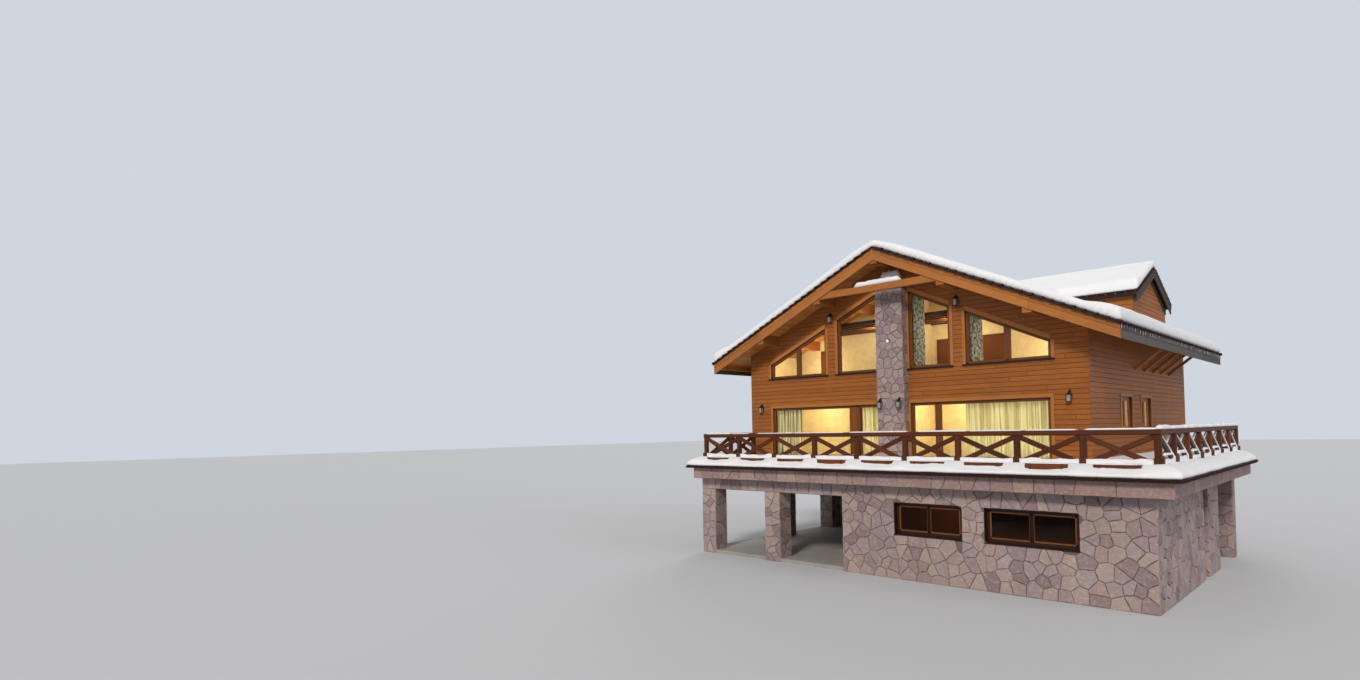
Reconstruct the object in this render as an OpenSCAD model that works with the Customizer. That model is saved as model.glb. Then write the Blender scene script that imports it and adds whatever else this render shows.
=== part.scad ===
// Alpine chalet: two timber storeys under a broad gable roof, on a stone ground floor
// that carries a terrace. X runs along the gable front, Y runs back, Z runs up.
// The origin lies at the foot of the walls, below the middle of the timber front.

/* [House] */
// Width over the timber side walls
house_w = 14180; // [13000:10:15200]
// Depth from the timber front to the timber back
house_d = 13900; // [12400:10:15400]
// Thickness of the timber walls
wall_t = 200; // [120:5:300]
// Height of the terrace deck and main floor above the foot
deck_z = 4000; // [3700:10:4400]
// Height from the main floor to the upper floor
storey_h = 2750; // [2600:10:2900]
// Thickness of the upper floor
floor_t = 250; // [150:10:350]

/* [Roof] */
// Height of the ridge above the deck, on top of the tiles
ridge_h = 8200; // [7900:10:8600]
// Pitch of the roof in degrees
pitch = 24.9; // [23:0.1:27]
// Overhang of the eaves beyond the side walls
eave_out = 1290; // [1000:10:1500]
// Overhang of the roof beyond the front and back walls
rake_out = 1285; // [1100:5:1500]
// Height of the tile layer
tile_h = 70; // [40:5:100]
// Height of the boards and rafters under the tiles
roof_t = 220; // [150:10:300]
// Height of the bargeboards
barge_h = 450; // [300:10:500]
// Thickness of the bargeboards and fascias
barge_t = 45; // [30:5:60]
// Reach of the tiles past the bargeboards and fascias
tile_lip = 55; // [30:5:80]
// Height of the fascias at the eaves
fascia_h = 440; // [300:10:480]
// Depth of the snow on the slopes
snow_h = 340; // [260:10:400]
// Depth of the snow on the ridge
snow_ridge = 240; // [150:10:300]
// Depth of the snow at the eaves' edge
snow_eave = 160; // [100:10:240]
// Distance from the ridge to where the snow is at its deepest
snow_round = 900; // [500:20:1200]

/* [Roof timbers] */
// Side of the square purlins
purlin = 300; // [200:10:340]
// Distance of the middle purlins from the ridge
mid_purlin_x = 2640; // [2300:10:2900]
// Distance of the lower purlins from the ridge
low_purlin_x = 5600; // [5200:10:6100]
// Side of the eave beams
eave_beam = 160; // [120:5:200]
// Distance from the eave edge to the eave beams
eave_beam_in = 300; // [200:10:400]
// Height of the tie beams across the gables
tie_h = 270; // [200:5:280]
// Thickness of the tie beams
tie_t = 180; // [120:5:220]
// Side of the eave struts
strut = 110; // [80:5:140]
// Drop of the eave struts from the beam to their feet
strut_drop = 820; // [600:10:900]
// Struts in a row
strut_count = 5; // [2:1:7]
// Spacing of the struts
strut_step = 1350; // [1000:10:1600]

/* [Dormers] */
// Distance of the dormer ridges from the front
dormer_y = 8200; // [7400:10:8600]
// Drop from the main ridge to the dormer ridges
dormer_drop = 670; // [560:10:800]
// Half the width over the dormer tiles
dormer_half = 2700; // [2500:10:2900]
// Overhang of the dormer tiles past the dormer walls
dormer_out = 210; // [120:10:300]
// Thickness of the dormer roof with its tiles
dormer_roof_t = 190; // [150:10:220]
// Height of the dormer bargeboards
dormer_barge_h = 340; // [240:10:380]
// Depth of the snow on the dormers
dormer_snow_h = 270; // [150:10:320]
// Thickness of the dormer walls
dormer_wall_t = 150; // [100:5:180]

/* [Front windows] */
// Gap between the pilaster and the windows beside it
front_gap = 90; // [40:5:120]
// Head of the terrace glazing above the deck
door_head = 2150; // [2000:10:2300]
// Outer end of the terrace glazing from the centre line
door_out = 5880; // [5400:10:6200]
// Width of a terrace door, up to the middle of its post
door_w = 1080; // [950:10:1200]
// Height of the bottom frame of the terrace glazing
door_sill = 80; // [50:5:120]
// Sill of the upper windows above the deck
upper_sill = 3470; // [3300:10:3600]
// Depth of the gable window heads below the roof tiles
head_drop = 1330; // [1250:10:1400]
// Outer side of the tall gable windows from the centre line
tall_out = 2430; // [2200:10:2600]
// Inner side of the outer gable windows from the centre line
wing_in = 3010; // [2900:10:3200]
// Outer side of the outer gable windows from the centre line
wing_out = 5940; // [5600:10:6200]
// Width of the window frames
frame_w = 110; // [60:5:120]
// Depth of the window frames
frame_d = 90; // [60:5:120]
// Width of the posts between the panes
bar_w = 220; // [140:5:240]
// Depth of the frames behind the outer face of their wall
reveal = 50; // [30:5:80]
// Thickness of the glass
glass_t = 24; // [16:2:30]

/* [Other windows] */
// Width of the main floor windows at the sides and back
side_win_w = 1450; // [1200:10:1700]
// Sill of those windows above the deck
side_win_sill = 950; // [800:10:1100]
// Head of those windows above the deck
side_win_head = 2200; // [2000:10:2300]
// Middle of the first side window from the front
side_win_y = 4200; // [3600:10:4700]
// Spacing of the side windows
side_win_step = 2750; // [2400:10:3100]
// Windows along each side
side_win_count = 2; // [1:1:3]
// Spacing of the windows in the back wall
back_win_step = 3600; // [3000:10:3800]

/* [Pilaster] */
// Width of the stone pilaster
pilaster_w = 1100; // [900:10:1160]
// Depth of the pilaster in front of the timber front
pilaster_d = 400; // [300:10:430]
// Drop from the ridge to the pilaster's shoulder
pilaster_drop = 1600; // [1500:10:2400]
// Shift of the pilaster from the centre line
pilaster_x = 150; // [-200:10:200]
// Height of the cap on the pilaster
cap_h = 450; // [200:10:500]
// Set-back of the cap from the pilaster's edges
cap_in = 110; // [60:10:150]

/* [Stone ground floor] */
// Thickness of the stone walls
stone_t = 450; // [350:10:550]
// Set-back of the stone front and right side from the deck's edge
stone_in = 200; // [100:10:300]
// Reach of the left stone wall past the timber wall
stone_out = 300; // [200:10:310]
// End of the right stone wall behind the timber front
right_wall_end = 3000; // [2500:10:3400]
// Left end of the front wall from the centre line
loggia_x = 390; // [200:10:700]
// Depth of the loggia behind the timber front
loggia_d = 6460; // [5800:10:6900]
// Side of the stone pillars
pillar = 700; // [550:10:750]
// Right side of the front pillar from the centre line
front_pillar_x = 3280; // [3000:10:3600]
// Near face of the left pillar behind the timber front
left_pillar_y = 1900; // [1400:10:2300]
// Underside of the lintels below the deck
lintel_drop = 1270; // [1150:10:1400]
// Near face of the wing pier behind the timber front
pier_y = 3830; // [3700:10:4200]
// Length of the wing pier
pier_l = 1750; // [1200:10:2000]
// Thickness of the ground floor slabs
ground_t = 150; // [100:10:200]
// Left side of the first ground window
ground_win_x = 1690; // [1400:10:1900]
// Width of the first ground window
ground_win_w = 2380; // [2100:10:2500]
// Pier between the ground windows
ground_win_gap = 740; // [600:10:900]
// Width of the second ground window
ground_win_w2 = 2750; // [2500:10:2900]
// Head of the ground windows below the deck
ground_win_drop = 1370; // [1250:10:1450]
// Height of the ground windows
ground_win_h = 1090; // [900:10:1200]

/* [Terrace] */
// Depth of the terrace in front of the timber front
deck_front = 3320; // [3280:10:3400]
// Width of the side terrace beside the timber wall
side_terrace_w = 2610; // [2500:10:2800]
// End of the side terrace behind the timber front
wing_end = 9000; // [8400:10:9600]
// Thickness of the deck and main floor slabs
slab_t = 300; // [200:10:350]
// Height of the stone edge beam under the slabs
beam_h = 500; // [400:10:600]
// Reach of the edge beam past the deck
beam_out = 315; // [250:5:350]
// Reach of the tiled ledge past the deck
ledge_out = 568; // [500:2:600]
// Fall of the tiled ledge
ledge_fall = 256; // [230:2:280]
// Step from the deck down to the tiled ledge
ledge_step = 30; // [10:5:50]
// Snow on the ledge at the railing
ledge_snow_in = 120; // [60:5:160]
// Snow on the ledge at its drip edge
ledge_snow_out = 90; // [40:5:120]
// Snow on the deck
deck_snow = 60; // [30:5:75]
// Strip along the railing that the deck's snow leaves free
snow_gap = 20; // [10:5:60]

/* [Railing] */
// Height of the railing above the deck
rail_h = 1070; // [950:10:1150]
// Side of the posts
post = 150; // [110:5:160]
// Height of the top rail
top_rail_h = 160; // [90:5:180]
// Width of the top rail
top_rail_w = 170; // [160:5:200]
// Width of the crossed braces
brace_w = 130; // [90:5:150]
// Thickness of the crossed braces
brace_t = 70; // [40:5:90]
// Gap between the braces and the deck
brace_gap = 60; // [40:5:100]
// Bays along the front
front_bays = 9; // [7:1:11]
// Bays along the right side
right_bays = 7; // [5:1:9]
// Bays of the left return
left_bays = 2; // [1:1:3]
// Bays at the end of the side terrace
wing_bays = 1; // [1:1:2]

/* [Planter boxes] */
// Length of a planter box
planter_l = 1180; // [900:10:1300]
// Width of a planter box
planter_w = 250; // [180:10:300]
// Rim of the planter boxes above the deck
planter_rim = 60; // [0:5:100]
// Thickness of the planter boards
planter_t = 28; // [20:2:40]
// Depth of the snow's top below the planter rims
planter_fill = 20; // [10:5:40]
// Gap between a planter box and the deck edge
planter_gap = 30; // [20:5:50]

/* [Lanterns] */
// Height of the terrace lanterns above the deck
lantern_z = 2210; // [1900:10:2400]
// Height of the lanterns between the gable windows above the window heads
pier_lantern_up = 300; // [100:10:340]
// Side of a lantern's cage
lantern = 150; // [120:5:180]
// Height of a lantern's cage
lantern_h = 230; // [180:10:260]
// Reach of the lantern brackets
bracket = 130; // [110:5:160]
// Diameter of the spot lamp on the pilaster
spot_d = 130; // [90:5:180]
// Height of the spot lamp above the deck
spot_z = 4610; // [4200:10:5000]

/* [Hidden] */

// Room for a cutter past the faces it cuts
past = 50;
half_w = house_w / 2;
deck_right = half_w + side_terrace_w;
stone_front = deck_front - stone_in;
stone_right = deck_right - stone_in;
stone_left = half_w + stone_out;
dormer_h = ridge_h - dormer_drop;
pilaster_h = ridge_h - pilaster_drop;
eave_x = half_w + eave_out;
slope = tan(pitch);
under = tile_h + roof_t;
slab_z = deck_z - slab_t;
beam_z = slab_z - beam_h;
lintel_z = deck_z - lintel_drop;
upper_z = deck_z + storey_h;
rail_in = post / 2;
roof_back = house_d + rake_out;
barge_x = eave_x - tile_lip;
barge_y = rake_out - tile_lip;
beam_x = eave_x - eave_beam_in - eave_beam;
dormer_x = half_w + dormer_out;
dormer_wall_y = dormer_half - dormer_out;

// Top of the main tiles at a distance x from the ridge
function tile_z(x) = deck_z + ridge_h - slope * abs(x);
// Underside of the main roof
function soffit_z(x) = tile_z(x) - under;
// Top of the dormer tiles at a distance y from the dormer ridge
function dormer_z(y) = deck_z + dormer_h - slope * abs(y);
// Head of the gable windows
function gable_head(x) = tile_z(x) - head_drop;

module along_y(y0, y1) {
    translate([0, y1, 0]) rotate([90, 0, 0]) linear_extrude(y1 - y0) children();
}

module along_x(x0, x1) {
    translate([x0, 0, 0]) rotate([90, 0, 90]) linear_extrude(x1 - x0) children();
}

module block(x, y, z) {
    translate([x[0], y[0], z[0]]) cube([x[1] - x[0], y[1] - y[0], z[1] - z[0]]);
}

// Draws its children on the right ($side = 1) and mirrored on the left ($side = -1)
module both_sides() {
    for ($side = [1, -1]) mirror([1 - $side, 0, 0]) children();
}

// A strip that follows the right roof slope, between two depths below the tiles
module slope_strip(x0, x1, top, bottom) {
    polygon([[x0, tile_z(x0) - top], [x1, tile_z(x1) - top],
        [x1, tile_z(x1) - bottom], [x0, tile_z(x0) - bottom]]);
}

// Everything under the main roof's surface, raised by lift
module under_roof_2d(lift) {
    polygon([[-eave_x - past, 0], [eave_x + past, 0], [eave_x + past, tile_z(eave_x + past) + lift],
        [0, tile_z(0) + lift], [-eave_x - past, tile_z(eave_x + past) + lift]]);
}

module under_roof(lift) {
    along_y(-rake_out - past, roof_back + past) under_roof_2d(lift);
}

// A gable wall's outline from a floor up to the underside of the roof
module gable_2d(z0) {
    polygon([[-half_w, z0], [half_w, z0], [half_w, soffit_z(half_w)], [0, soffit_z(0)],
        [-half_w, soffit_z(half_w)]]);
}

// Slots in which the purlins pass through the gables, open at the top
module purlin_slots_2d() {
    for (x = [-low_purlin_x, -mid_purlin_x, 0, mid_purlin_x, low_purlin_x])
        translate([x - purlin / 2, soffit_z(abs(x) + purlin / 2) - purlin])
            square([purlin, 2 * purlin]);
}

// Purlins have a square section below a top that is cut to the slope
module purlins_2d() {
    intersection() {
        purlin_slots_2d();
        under_roof_2d(-under);
    }
}

// Stone ground floor

module stone_wall(x, y, top = slab_z) {
    color("rosybrown") block(x, y, [0, top]);
}

ground_wins = [[ground_win_x, ground_win_x + ground_win_w],
    [ground_win_x + ground_win_w + ground_win_gap,
        ground_win_x + ground_win_w + ground_win_gap + ground_win_w2]];
ground_win_z = [deck_z - ground_win_drop - ground_win_h, deck_z - ground_win_drop];
back_ground_wins = [for (s = [-1, 1]) [s * back_win_step / 2 - side_win_w / 2,
    s * back_win_step / 2 + side_win_w / 2]];

module ground_floors() {
    color("gray") {
        difference() {
            block([-stone_left, -loggia_x], [-stone_front, loggia_d], [0, ground_t]);
            pillar_blocks(past);
        }
        linear_extrude(ground_t) polygon([[stone_t - loggia_x, stone_t - stone_front],
            [stone_right - stone_t, stone_t - stone_front],
            [stone_right - stone_t, right_wall_end - stone_t],
            [half_w - stone_t, right_wall_end - stone_t], [half_w - stone_t, house_d - stone_t],
            [stone_t - stone_left, house_d - stone_t], [stone_t - stone_left, loggia_d + stone_t],
            [stone_t - loggia_x, loggia_d + stone_t]]);
    }
}

module ground_front_wall() {
    difference() {
        stone_wall([-loggia_x, stone_right], [-stone_front, stone_t - stone_front], beam_z);
        for (w = ground_wins) block(w, [-stone_front - past, stone_t - stone_front + past], ground_win_z);
    }
}

module ground_right_wall() {
    stone_wall([stone_right - stone_t, stone_right], [stone_t - stone_front, right_wall_end], beam_z);
    stone_wall([half_w - stone_t, stone_right - stone_t], [right_wall_end - stone_t, right_wall_end]);
}

module ground_side_wall() {
    stone_wall([half_w - stone_t, half_w], [right_wall_end, house_d - stone_t]);
}

module ground_back_wall() {
    difference() {
        stone_wall([-half_w, half_w], [house_d - stone_t, house_d]);
        for (w = back_ground_wins) block(w, [house_d - stone_t - past, house_d + past], ground_win_z);
    }
}

module ground_left_wall() {
    stone_wall([-stone_left, stone_t - stone_left], [loggia_d, house_d - stone_t], beam_z);
}

module loggia_side_wall() {
    stone_wall([-loggia_x, stone_t - loggia_x], [stone_t - stone_front, loggia_d + stone_t]);
}

module loggia_back_wall() {
    stone_wall([stone_t - stone_left, -loggia_x], [loggia_d, loggia_d + stone_t]);
}

module pillar_blocks(grow) {
    top = [-grow, lintel_z + grow];
    block([-stone_left - grow, pillar - stone_left], [-stone_front - grow, pillar - stone_front], top);
    block([-front_pillar_x - pillar, -front_pillar_x], [-stone_front - grow, pillar - stone_front], top);
    block([-stone_left - grow, pillar - stone_left], [left_pillar_y, left_pillar_y + pillar], top);
    block([-stone_left - grow, pillar - stone_left], [loggia_d - pillar, loggia_d + grow], top);
}

module loggia_pillars() {
    color("tan") pillar_blocks(0);
}

module loggia_lintel() {
    color("tan") translate([0, 0, lintel_z]) linear_extrude(beam_z - lintel_z)
        polygon([[-stone_left, -stone_front], [-loggia_x, -stone_front],
            [-loggia_x, stone_t - stone_front], [stone_t - stone_left, stone_t - stone_front],
            [stone_t - stone_left, loggia_d], [-stone_left, loggia_d]]);
}

module wing_piers() {
    stone_wall([stone_right - stone_t, stone_right], [pier_y, pier_y + pier_l], beam_z);
    stone_wall([stone_right - stone_t, stone_right], [wing_end - stone_t, wing_end], beam_z);
    stone_wall([half_w, stone_right - stone_t], [wing_end - stone_t, wing_end]);
}

// Terrace

module edge_beam() {
    left = half_w + beam_out;
    color("rosybrown") translate([0, 0, beam_z]) linear_extrude(beam_h)
        polygon([[-left, -deck_front - beam_out], [deck_right + beam_out, -deck_front - beam_out],
            [deck_right + beam_out, wing_end], [stone_right - stone_t, wing_end],
            [stone_right - stone_t, stone_t - stone_front],
            [stone_t - stone_left, stone_t - stone_front], [stone_t - stone_left, house_d - stone_t],
            [-left, house_d - stone_t]]);
}

module terrace_deck() {
    color("silver") translate([0, 0, slab_z]) linear_extrude(slab_t) polygon([[-half_w, -deck_front],
        [deck_right, -deck_front], [deck_right, wing_end], [half_w, wing_end], [half_w, 0],
        [-half_w, 0]]);
}

module main_floor() {
    color("silver") block([-half_w, half_w], [0, house_d], [slab_z, deck_z]);
}

ledge_slope = ledge_fall / ledge_out;
ledge_drip = ledge_step + ledge_fall;

// Section of a ledge layer: distance out from the deck, height above the deck
module ledge_2d() {
    foot = (slab_t - ledge_step - tile_h) / ledge_slope;
    polygon([[0, -slab_t], [foot, -slab_t], [ledge_out, -ledge_drip - tile_h],
        [ledge_out, -ledge_drip], [0, -ledge_step]]);
}

module ledge_snow_2d() {
    polygon([[0, -ledge_step], [ledge_out, -ledge_drip],
        [ledge_out, -ledge_drip + ledge_snow_out * 0.5],
        [ledge_out - ledge_snow_out * 0.5, -ledge_drip + ledge_snow_out],
        [0, ledge_snow_in - ledge_step]]);
}

// The terrace edge's three sides, mitred at the two front corners
module round_terrace() {
    out = ledge_out;
    intersection() {
        translate([0, -deck_front, deck_z]) mirror([0, 1, 0]) along_x(-half_w - out, deck_right + out)
            children();
        linear_extrude(2 * deck_z) polygon([[-half_w, -deck_front], [deck_right, -deck_front],
            [deck_right + out, -deck_front - out], [-half_w - out, -deck_front - out]]);
    }
    intersection() {
        translate([deck_right, 0, deck_z]) along_y(-deck_front - out, wing_end) children();
        linear_extrude(2 * deck_z) polygon([[deck_right, -deck_front],
            [deck_right + out, -deck_front - out], [deck_right + out, wing_end], [deck_right, wing_end]]);
    }
    intersection() {
        translate([-half_w, 0, deck_z]) mirror([1, 0, 0]) along_y(-deck_front - out, house_d) children();
        linear_extrude(2 * deck_z) polygon([[-half_w, -deck_front],
            [-half_w - out, -deck_front - out], [-half_w - out, house_d], [-half_w, house_d]]);
    }
}

module terrace_ledge() {
    color("saddlebrown") round_terrace() ledge_2d();
}

module deck_snow_2d() {
    in = post + snow_gap;
    difference() {
        polygon([[in - half_w, in - deck_front], [deck_right - in, in - deck_front],
            [deck_right - in, wing_end - in], [half_w, wing_end - in], [half_w, 0], [in - half_w, 0]]);
        pilaster_2d();
    }
}

module terrace_snow() {
    color("white") {
        difference() {
            round_terrace() ledge_snow_2d();
            at_planters() planter_2d(0, past);
        }
        translate([0, 0, deck_z]) linear_extrude(deck_snow) deck_snow_2d();
        at_planters(planter_t) planter_2d(planter_t, -planter_fill);
    }
}

// A straight run of railing along X, from one post's middle at 0 to another's at length.
// Posts stand from number first to number last, and the top rail runs over span.
module railing(length, bays, first, last, span) {
    step = length / bays;
    clear = step - post;
    low = rail_h - top_rail_h;
    translate([span[0], -top_rail_w / 2, low]) cube([span[1] - span[0], top_rail_w, top_rail_h]);
    for (i = [first : 1 : last]) translate([i * step - post / 2, -post / 2, 0]) cube([post, post, low]);
    for (i = [0 : bays - 1]) translate([i * step + post / 2, brace_t / 2, brace_gap])
        rotate([90, 0, 0]) linear_extrude(brace_t) crossed_braces(clear, low - brace_gap);
}

module crossed_braces(w, h) {
    lean = atan(h / w);
    intersection() {
        square([w, h]);
        translate([w / 2, h / 2]) union() {
            rotate(lean) square([2 * w, brace_w], center = true);
            rotate(-lean) square([2 * w, brace_w], center = true);
        }
    }
}

rail_edge = top_rail_w / 2;
rail_front = rail_in - deck_front;
rail_right = deck_right - rail_in;
rail_left = rail_in - half_w;
rail_end = wing_end - rail_in;

module front_railing() {
    length = rail_right - rail_left;
    color("sienna") translate([rail_left, rail_front, deck_z])
        railing(length, front_bays, 0, front_bays, [-rail_edge, length + rail_edge]);
}

module right_railing() {
    length = rail_end - rail_front;
    color("sienna") translate([rail_right, rail_front, deck_z]) rotate(90)
        railing(length, right_bays, 1, right_bays, [rail_edge, length + rail_edge]);
}

// The return to the timber front, and the far end of the side terrace
module end_railings() {
    return = -rail_front - rail_in;
    end = rail_right - half_w - rail_in;
    color("sienna") {
        translate([rail_left, rail_front, deck_z]) rotate(90)
            railing(return, left_bays, 1, left_bays, [rail_edge, return + rail_in]);
        translate([half_w + rail_in, rail_end, deck_z])
            railing(end, wing_bays, 0, wing_bays - 1, [-rail_in, end - rail_edge]);
    }
}

// A planter box's section on the ledge, shrunk by inset and ending at lift above its rim
module planter_2d(inset, lift) {
    near = planter_gap + inset;
    far = planter_gap + planter_w - inset;
    polygon([[near, inset - ledge_step - ledge_slope * near],
        [far, inset - ledge_step - ledge_slope * far],
        [far, planter_rim + lift], [near, planter_rim + lift]]);
}

module at_planters(inset = 0) {
    step = (rail_right - rail_left) / front_bays;
    run = planter_l / 2 - inset;
    for (i = [0 : front_bays - 1])
        translate([rail_left + (i + 0.5) * step, -deck_front, deck_z]) mirror([0, 1, 0])
            along_x(-run, run) children();
}

module planter_boxes() {
    color("sienna") difference() {
        at_planters() planter_2d(0, 0);
        at_planters(planter_t) planter_2d(planter_t, past);
    }
}

// Timber storeys

wing_bar = (wing_in + wing_out) / 2;
// Side of the pilaster windows that is next to the pilaster, on the side being drawn
function inner_x() = pilaster_w / 2 + front_gap + $side * pilaster_x;

// A window's outline under the gable, shrunk by inset on its four sides
module gable_light(x0, x1, inset) {
    a = x0 + inset;
    b = x1 - inset;
    z = deck_z + upper_sill + inset;
    drop = inset / cos(pitch);
    polygon([[a, z], [b, z], [b, gable_head(b) - drop], [a, gable_head(a) - drop]]);
}

// A plain light, shrunk by inset all round
module plain_light(x0, x1, z0, z1, inset = 0) {
    translate([x0 + inset, z0 + inset]) square([x1 - x0 - 2 * inset, z1 - z0 - 2 * inset]);
}

// The panes of the terrace glazing: a door beside the pilaster and a wide pane
module door_lights() {
    z = [deck_z + door_sill, deck_z + door_head - frame_w];
    x = inner_x() + door_w;
    plain_light(inner_x() + frame_w, x - bar_w / 2, z[0], z[1]);
    plain_light(x + bar_w / 2, door_out - frame_w, z[0], z[1]);
}

module upper_lights() {
    gable_light(inner_x(), tall_out, frame_w);
    difference() {
        gable_light(wing_in, wing_out, frame_w);
        translate([wing_bar - bar_w / 2, deck_z]) square([bar_w, ridge_h]);
    }
}

module front_wall_lower() {
    color("chocolate") along_y(0, wall_t) difference() {
        translate([-half_w, deck_z]) square([house_w, storey_h]);
        both_sides() plain_light(inner_x(), door_out, deck_z - past, deck_z + door_head);
    }
}

module front_wall_upper() {
    color("chocolate") along_y(0, wall_t) difference() {
        gable_2d(upper_z);
        purlin_slots_2d();
        both_sides() {
            gable_light(inner_x(), tall_out, 0);
            gable_light(wing_in, wing_out, 0);
        }
    }
}

module front_window_frames() {
    color("brown") along_y(reveal, reveal + frame_d) both_sides() difference() {
        union() {
            plain_light(inner_x(), door_out, deck_z, deck_z + door_head);
            gable_light(inner_x(), tall_out, 0);
            gable_light(wing_in, wing_out, 0);
        }
        door_lights();
        upper_lights();
    }
}

module front_glass() {
    mid = reveal + frame_d / 2;
    color("lightcyan") along_y(mid - glass_t / 2, mid + glass_t / 2) both_sides() {
        door_lights();
        upper_lights();
    }
}

side_wins = [for (i = [0 : side_win_count - 1]) side_win_y + i * side_win_step];
side_win_z = [deck_z + side_win_sill, deck_z + side_win_head];
back_wins = [-back_win_step, 0, back_win_step];
back_upper_wins = [-back_win_step / 2, back_win_step / 2];

// A window of width w about x = 0 with two casements, between two heights
module casement_2d(w, z) {
    difference() {
        plain_light(-w / 2, w / 2, z[0], z[1]);
        casement_lights(w, z);
    }
}

module casement_lights(w, z) {
    h = z[1] - z[0] - 2 * frame_w;
    pane = (w - 3 * frame_w) / 2;
    for (x = [-w / 2 + frame_w, frame_w / 2]) translate([x, z[0] + frame_w]) square([pane, h]);
}

module at_side_windows() {
    for (y = side_wins) translate([0, y, 0]) children();
}

// A side wall's section, under the roof's slope
module side_wall_2d() {
    polygon([[half_w - wall_t, deck_z], [half_w, deck_z], [half_w, soffit_z(half_w)],
        [half_w - wall_t, soffit_z(half_w - wall_t)]]);
}

module side_wall() {
    difference() {
        along_y(wall_t, house_d - wall_t) side_wall_2d();
        at_side_windows() block([half_w - wall_t - past, half_w + past],
            [-side_win_w / 2, side_win_w / 2], side_win_z);
    }
}

module right_wall() {
    color("chocolate") side_wall();
}

module left_wall() {
    color("chocolate") mirror([1, 0, 0]) side_wall();
}

module at_back_windows() {
    for (x = back_wins) translate([x, 0]) children();
    for (x = back_upper_wins) translate([x, storey_h]) children();
}

module back_windows_2d() {
    at_back_windows() plain_light(-side_win_w / 2, side_win_w / 2, side_win_z[0], side_win_z[1]);
}

module back_wall() {
    color("chocolate") along_y(house_d - wall_t, house_d) difference() {
        gable_2d(deck_z);
        purlin_slots_2d();
        back_windows_2d();
    }
}

module upper_floor() {
    color("burlywood") block([wall_t - half_w, half_w - wall_t], [wall_t, house_d - wall_t],
        [upper_z - floor_t, upper_z]);
}

// Casements of the side, back and ground windows, as frames or as glass
module at_casements(d0, d1) {
    both_sides() at_side_windows() translate([half_w, 0, 0]) rotate(90)
        along_y(d0, d1) children();
    translate([0, house_d, 0]) rotate(180) along_y(d0, d1) at_back_windows() children();
}

module side_window_frames() {
    color("brown") at_casements(reveal, reveal + frame_d) casement_2d(side_win_w, side_win_z);
}

// Stone walls hold their frames further back
stone_reveal = 3 * reveal;

// Ground windows at depths d0 to d1 behind their wall's face, as frames or as their glass
module ground_casements(glass, d0, d1) {
    for (w = ground_wins) translate([(w[0] + w[1]) / 2, -stone_front, 0]) along_y(d0, d1)
        ground_casement(glass, w[1] - w[0]);
    for (w = back_ground_wins) translate([(w[0] + w[1]) / 2, house_d, 0]) rotate(180) along_y(d0, d1)
        ground_casement(glass, w[1] - w[0]);
}

module ground_casement(glass, w) {
    if (glass) casement_lights(w, ground_win_z);
    else casement_2d(w, ground_win_z);
}

module ground_window_frames() {
    color("brown") ground_casements(false, stone_reveal, stone_reveal + frame_d);
}

module side_glass() {
    mid = frame_d / 2;
    color("lightcyan") {
        at_casements(reveal + mid - glass_t / 2, reveal + mid + glass_t / 2)
            casement_lights(side_win_w, side_win_z);
        ground_casements(true, stone_reveal + mid - glass_t / 2, stone_reveal + mid + glass_t / 2);
    }
}

module pilaster_2d(inset = 0) {
    translate([pilaster_x + inset - pilaster_w / 2, inset - pilaster_d])
        square([pilaster_w - 2 * inset, pilaster_d - inset]);
}

module pilaster() {
    color("tan") translate([0, 0, deck_z]) {
        linear_extrude(pilaster_h) pilaster_2d();
        linear_extrude(pilaster_h + cap_h) pilaster_2d(cap_in);
    }
}

// Roof

module purlins() {
    color("peru") {
        along_y(-barge_y + barge_t, house_d + barge_y - barge_t) purlins_2d();
        both_sides() along_y(-barge_y + barge_t, house_d + barge_y - barge_t) eave_beam_2d();
    }
}

beam_under = soffit_z(beam_x + eave_beam) - eave_beam;

// An eave beam's top is cut to the slope too
module eave_beam_2d() {
    intersection() {
        translate([beam_x, beam_under]) square([eave_beam, 2 * eave_beam]);
        under_roof_2d(-under);
    }
}

// The tie beams fit between the middle purlins, right behind the bargeboards
module tie_beams() {
    span = mid_purlin_x - purlin / 2;
    top = soffit_z(span);
    color("peru") for (y = [barge_t - barge_y, house_d + barge_y - barge_t - tie_t])
        block([-span, span], [y, y + tie_t], [top - tie_h, top]);
}

// A strut from the side wall up to the underside of the eave beam
module strut_2d() {
    foot = beam_under - strut_drop;
    polygon([[half_w, foot], [beam_x + eave_beam, beam_under], [beam_x, beam_under],
        [half_w, foot + strut * sqrt(2)]]);
}

module eave_struts() {
    color("peru") both_sides() for (i = [0 : strut_count - 1]) {
        y = dormer_y + (i - (strut_count - 1) / 2) * strut_step;
        along_y(y - strut / 2, y + strut / 2) strut_2d();
    }
}

module roof_slope() {
    along_y(-barge_y + barge_t, house_d + barge_y - barge_t)
        slope_strip(0, barge_x - barge_t, tile_h, under);
}

module roof_right() {
    color("sienna") roof_slope();
}

module roof_left() {
    color("sienna") mirror([1, 0, 0]) roof_slope();
}

module roof_tiles() {
    color("saddlebrown") along_y(-rake_out, roof_back) both_sides() slope_strip(0, eave_x, 0, tile_h);
}

module bargeboards() {
    color("peru") {
        for (y = [-barge_y, house_d + barge_y - barge_t]) along_y(y, y + barge_t)
            both_sides() slope_strip(0, barge_x, tile_h, tile_h + barge_h);
        both_sides() dormer_bargeboards();
    }
}

module eave_fascias() {
    color("dimgray") both_sides() along_y(-barge_y + barge_t, house_d + barge_y - barge_t)
        slope_strip(barge_x - barge_t, barge_x, tile_h, tile_h + fascia_h);
}

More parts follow.
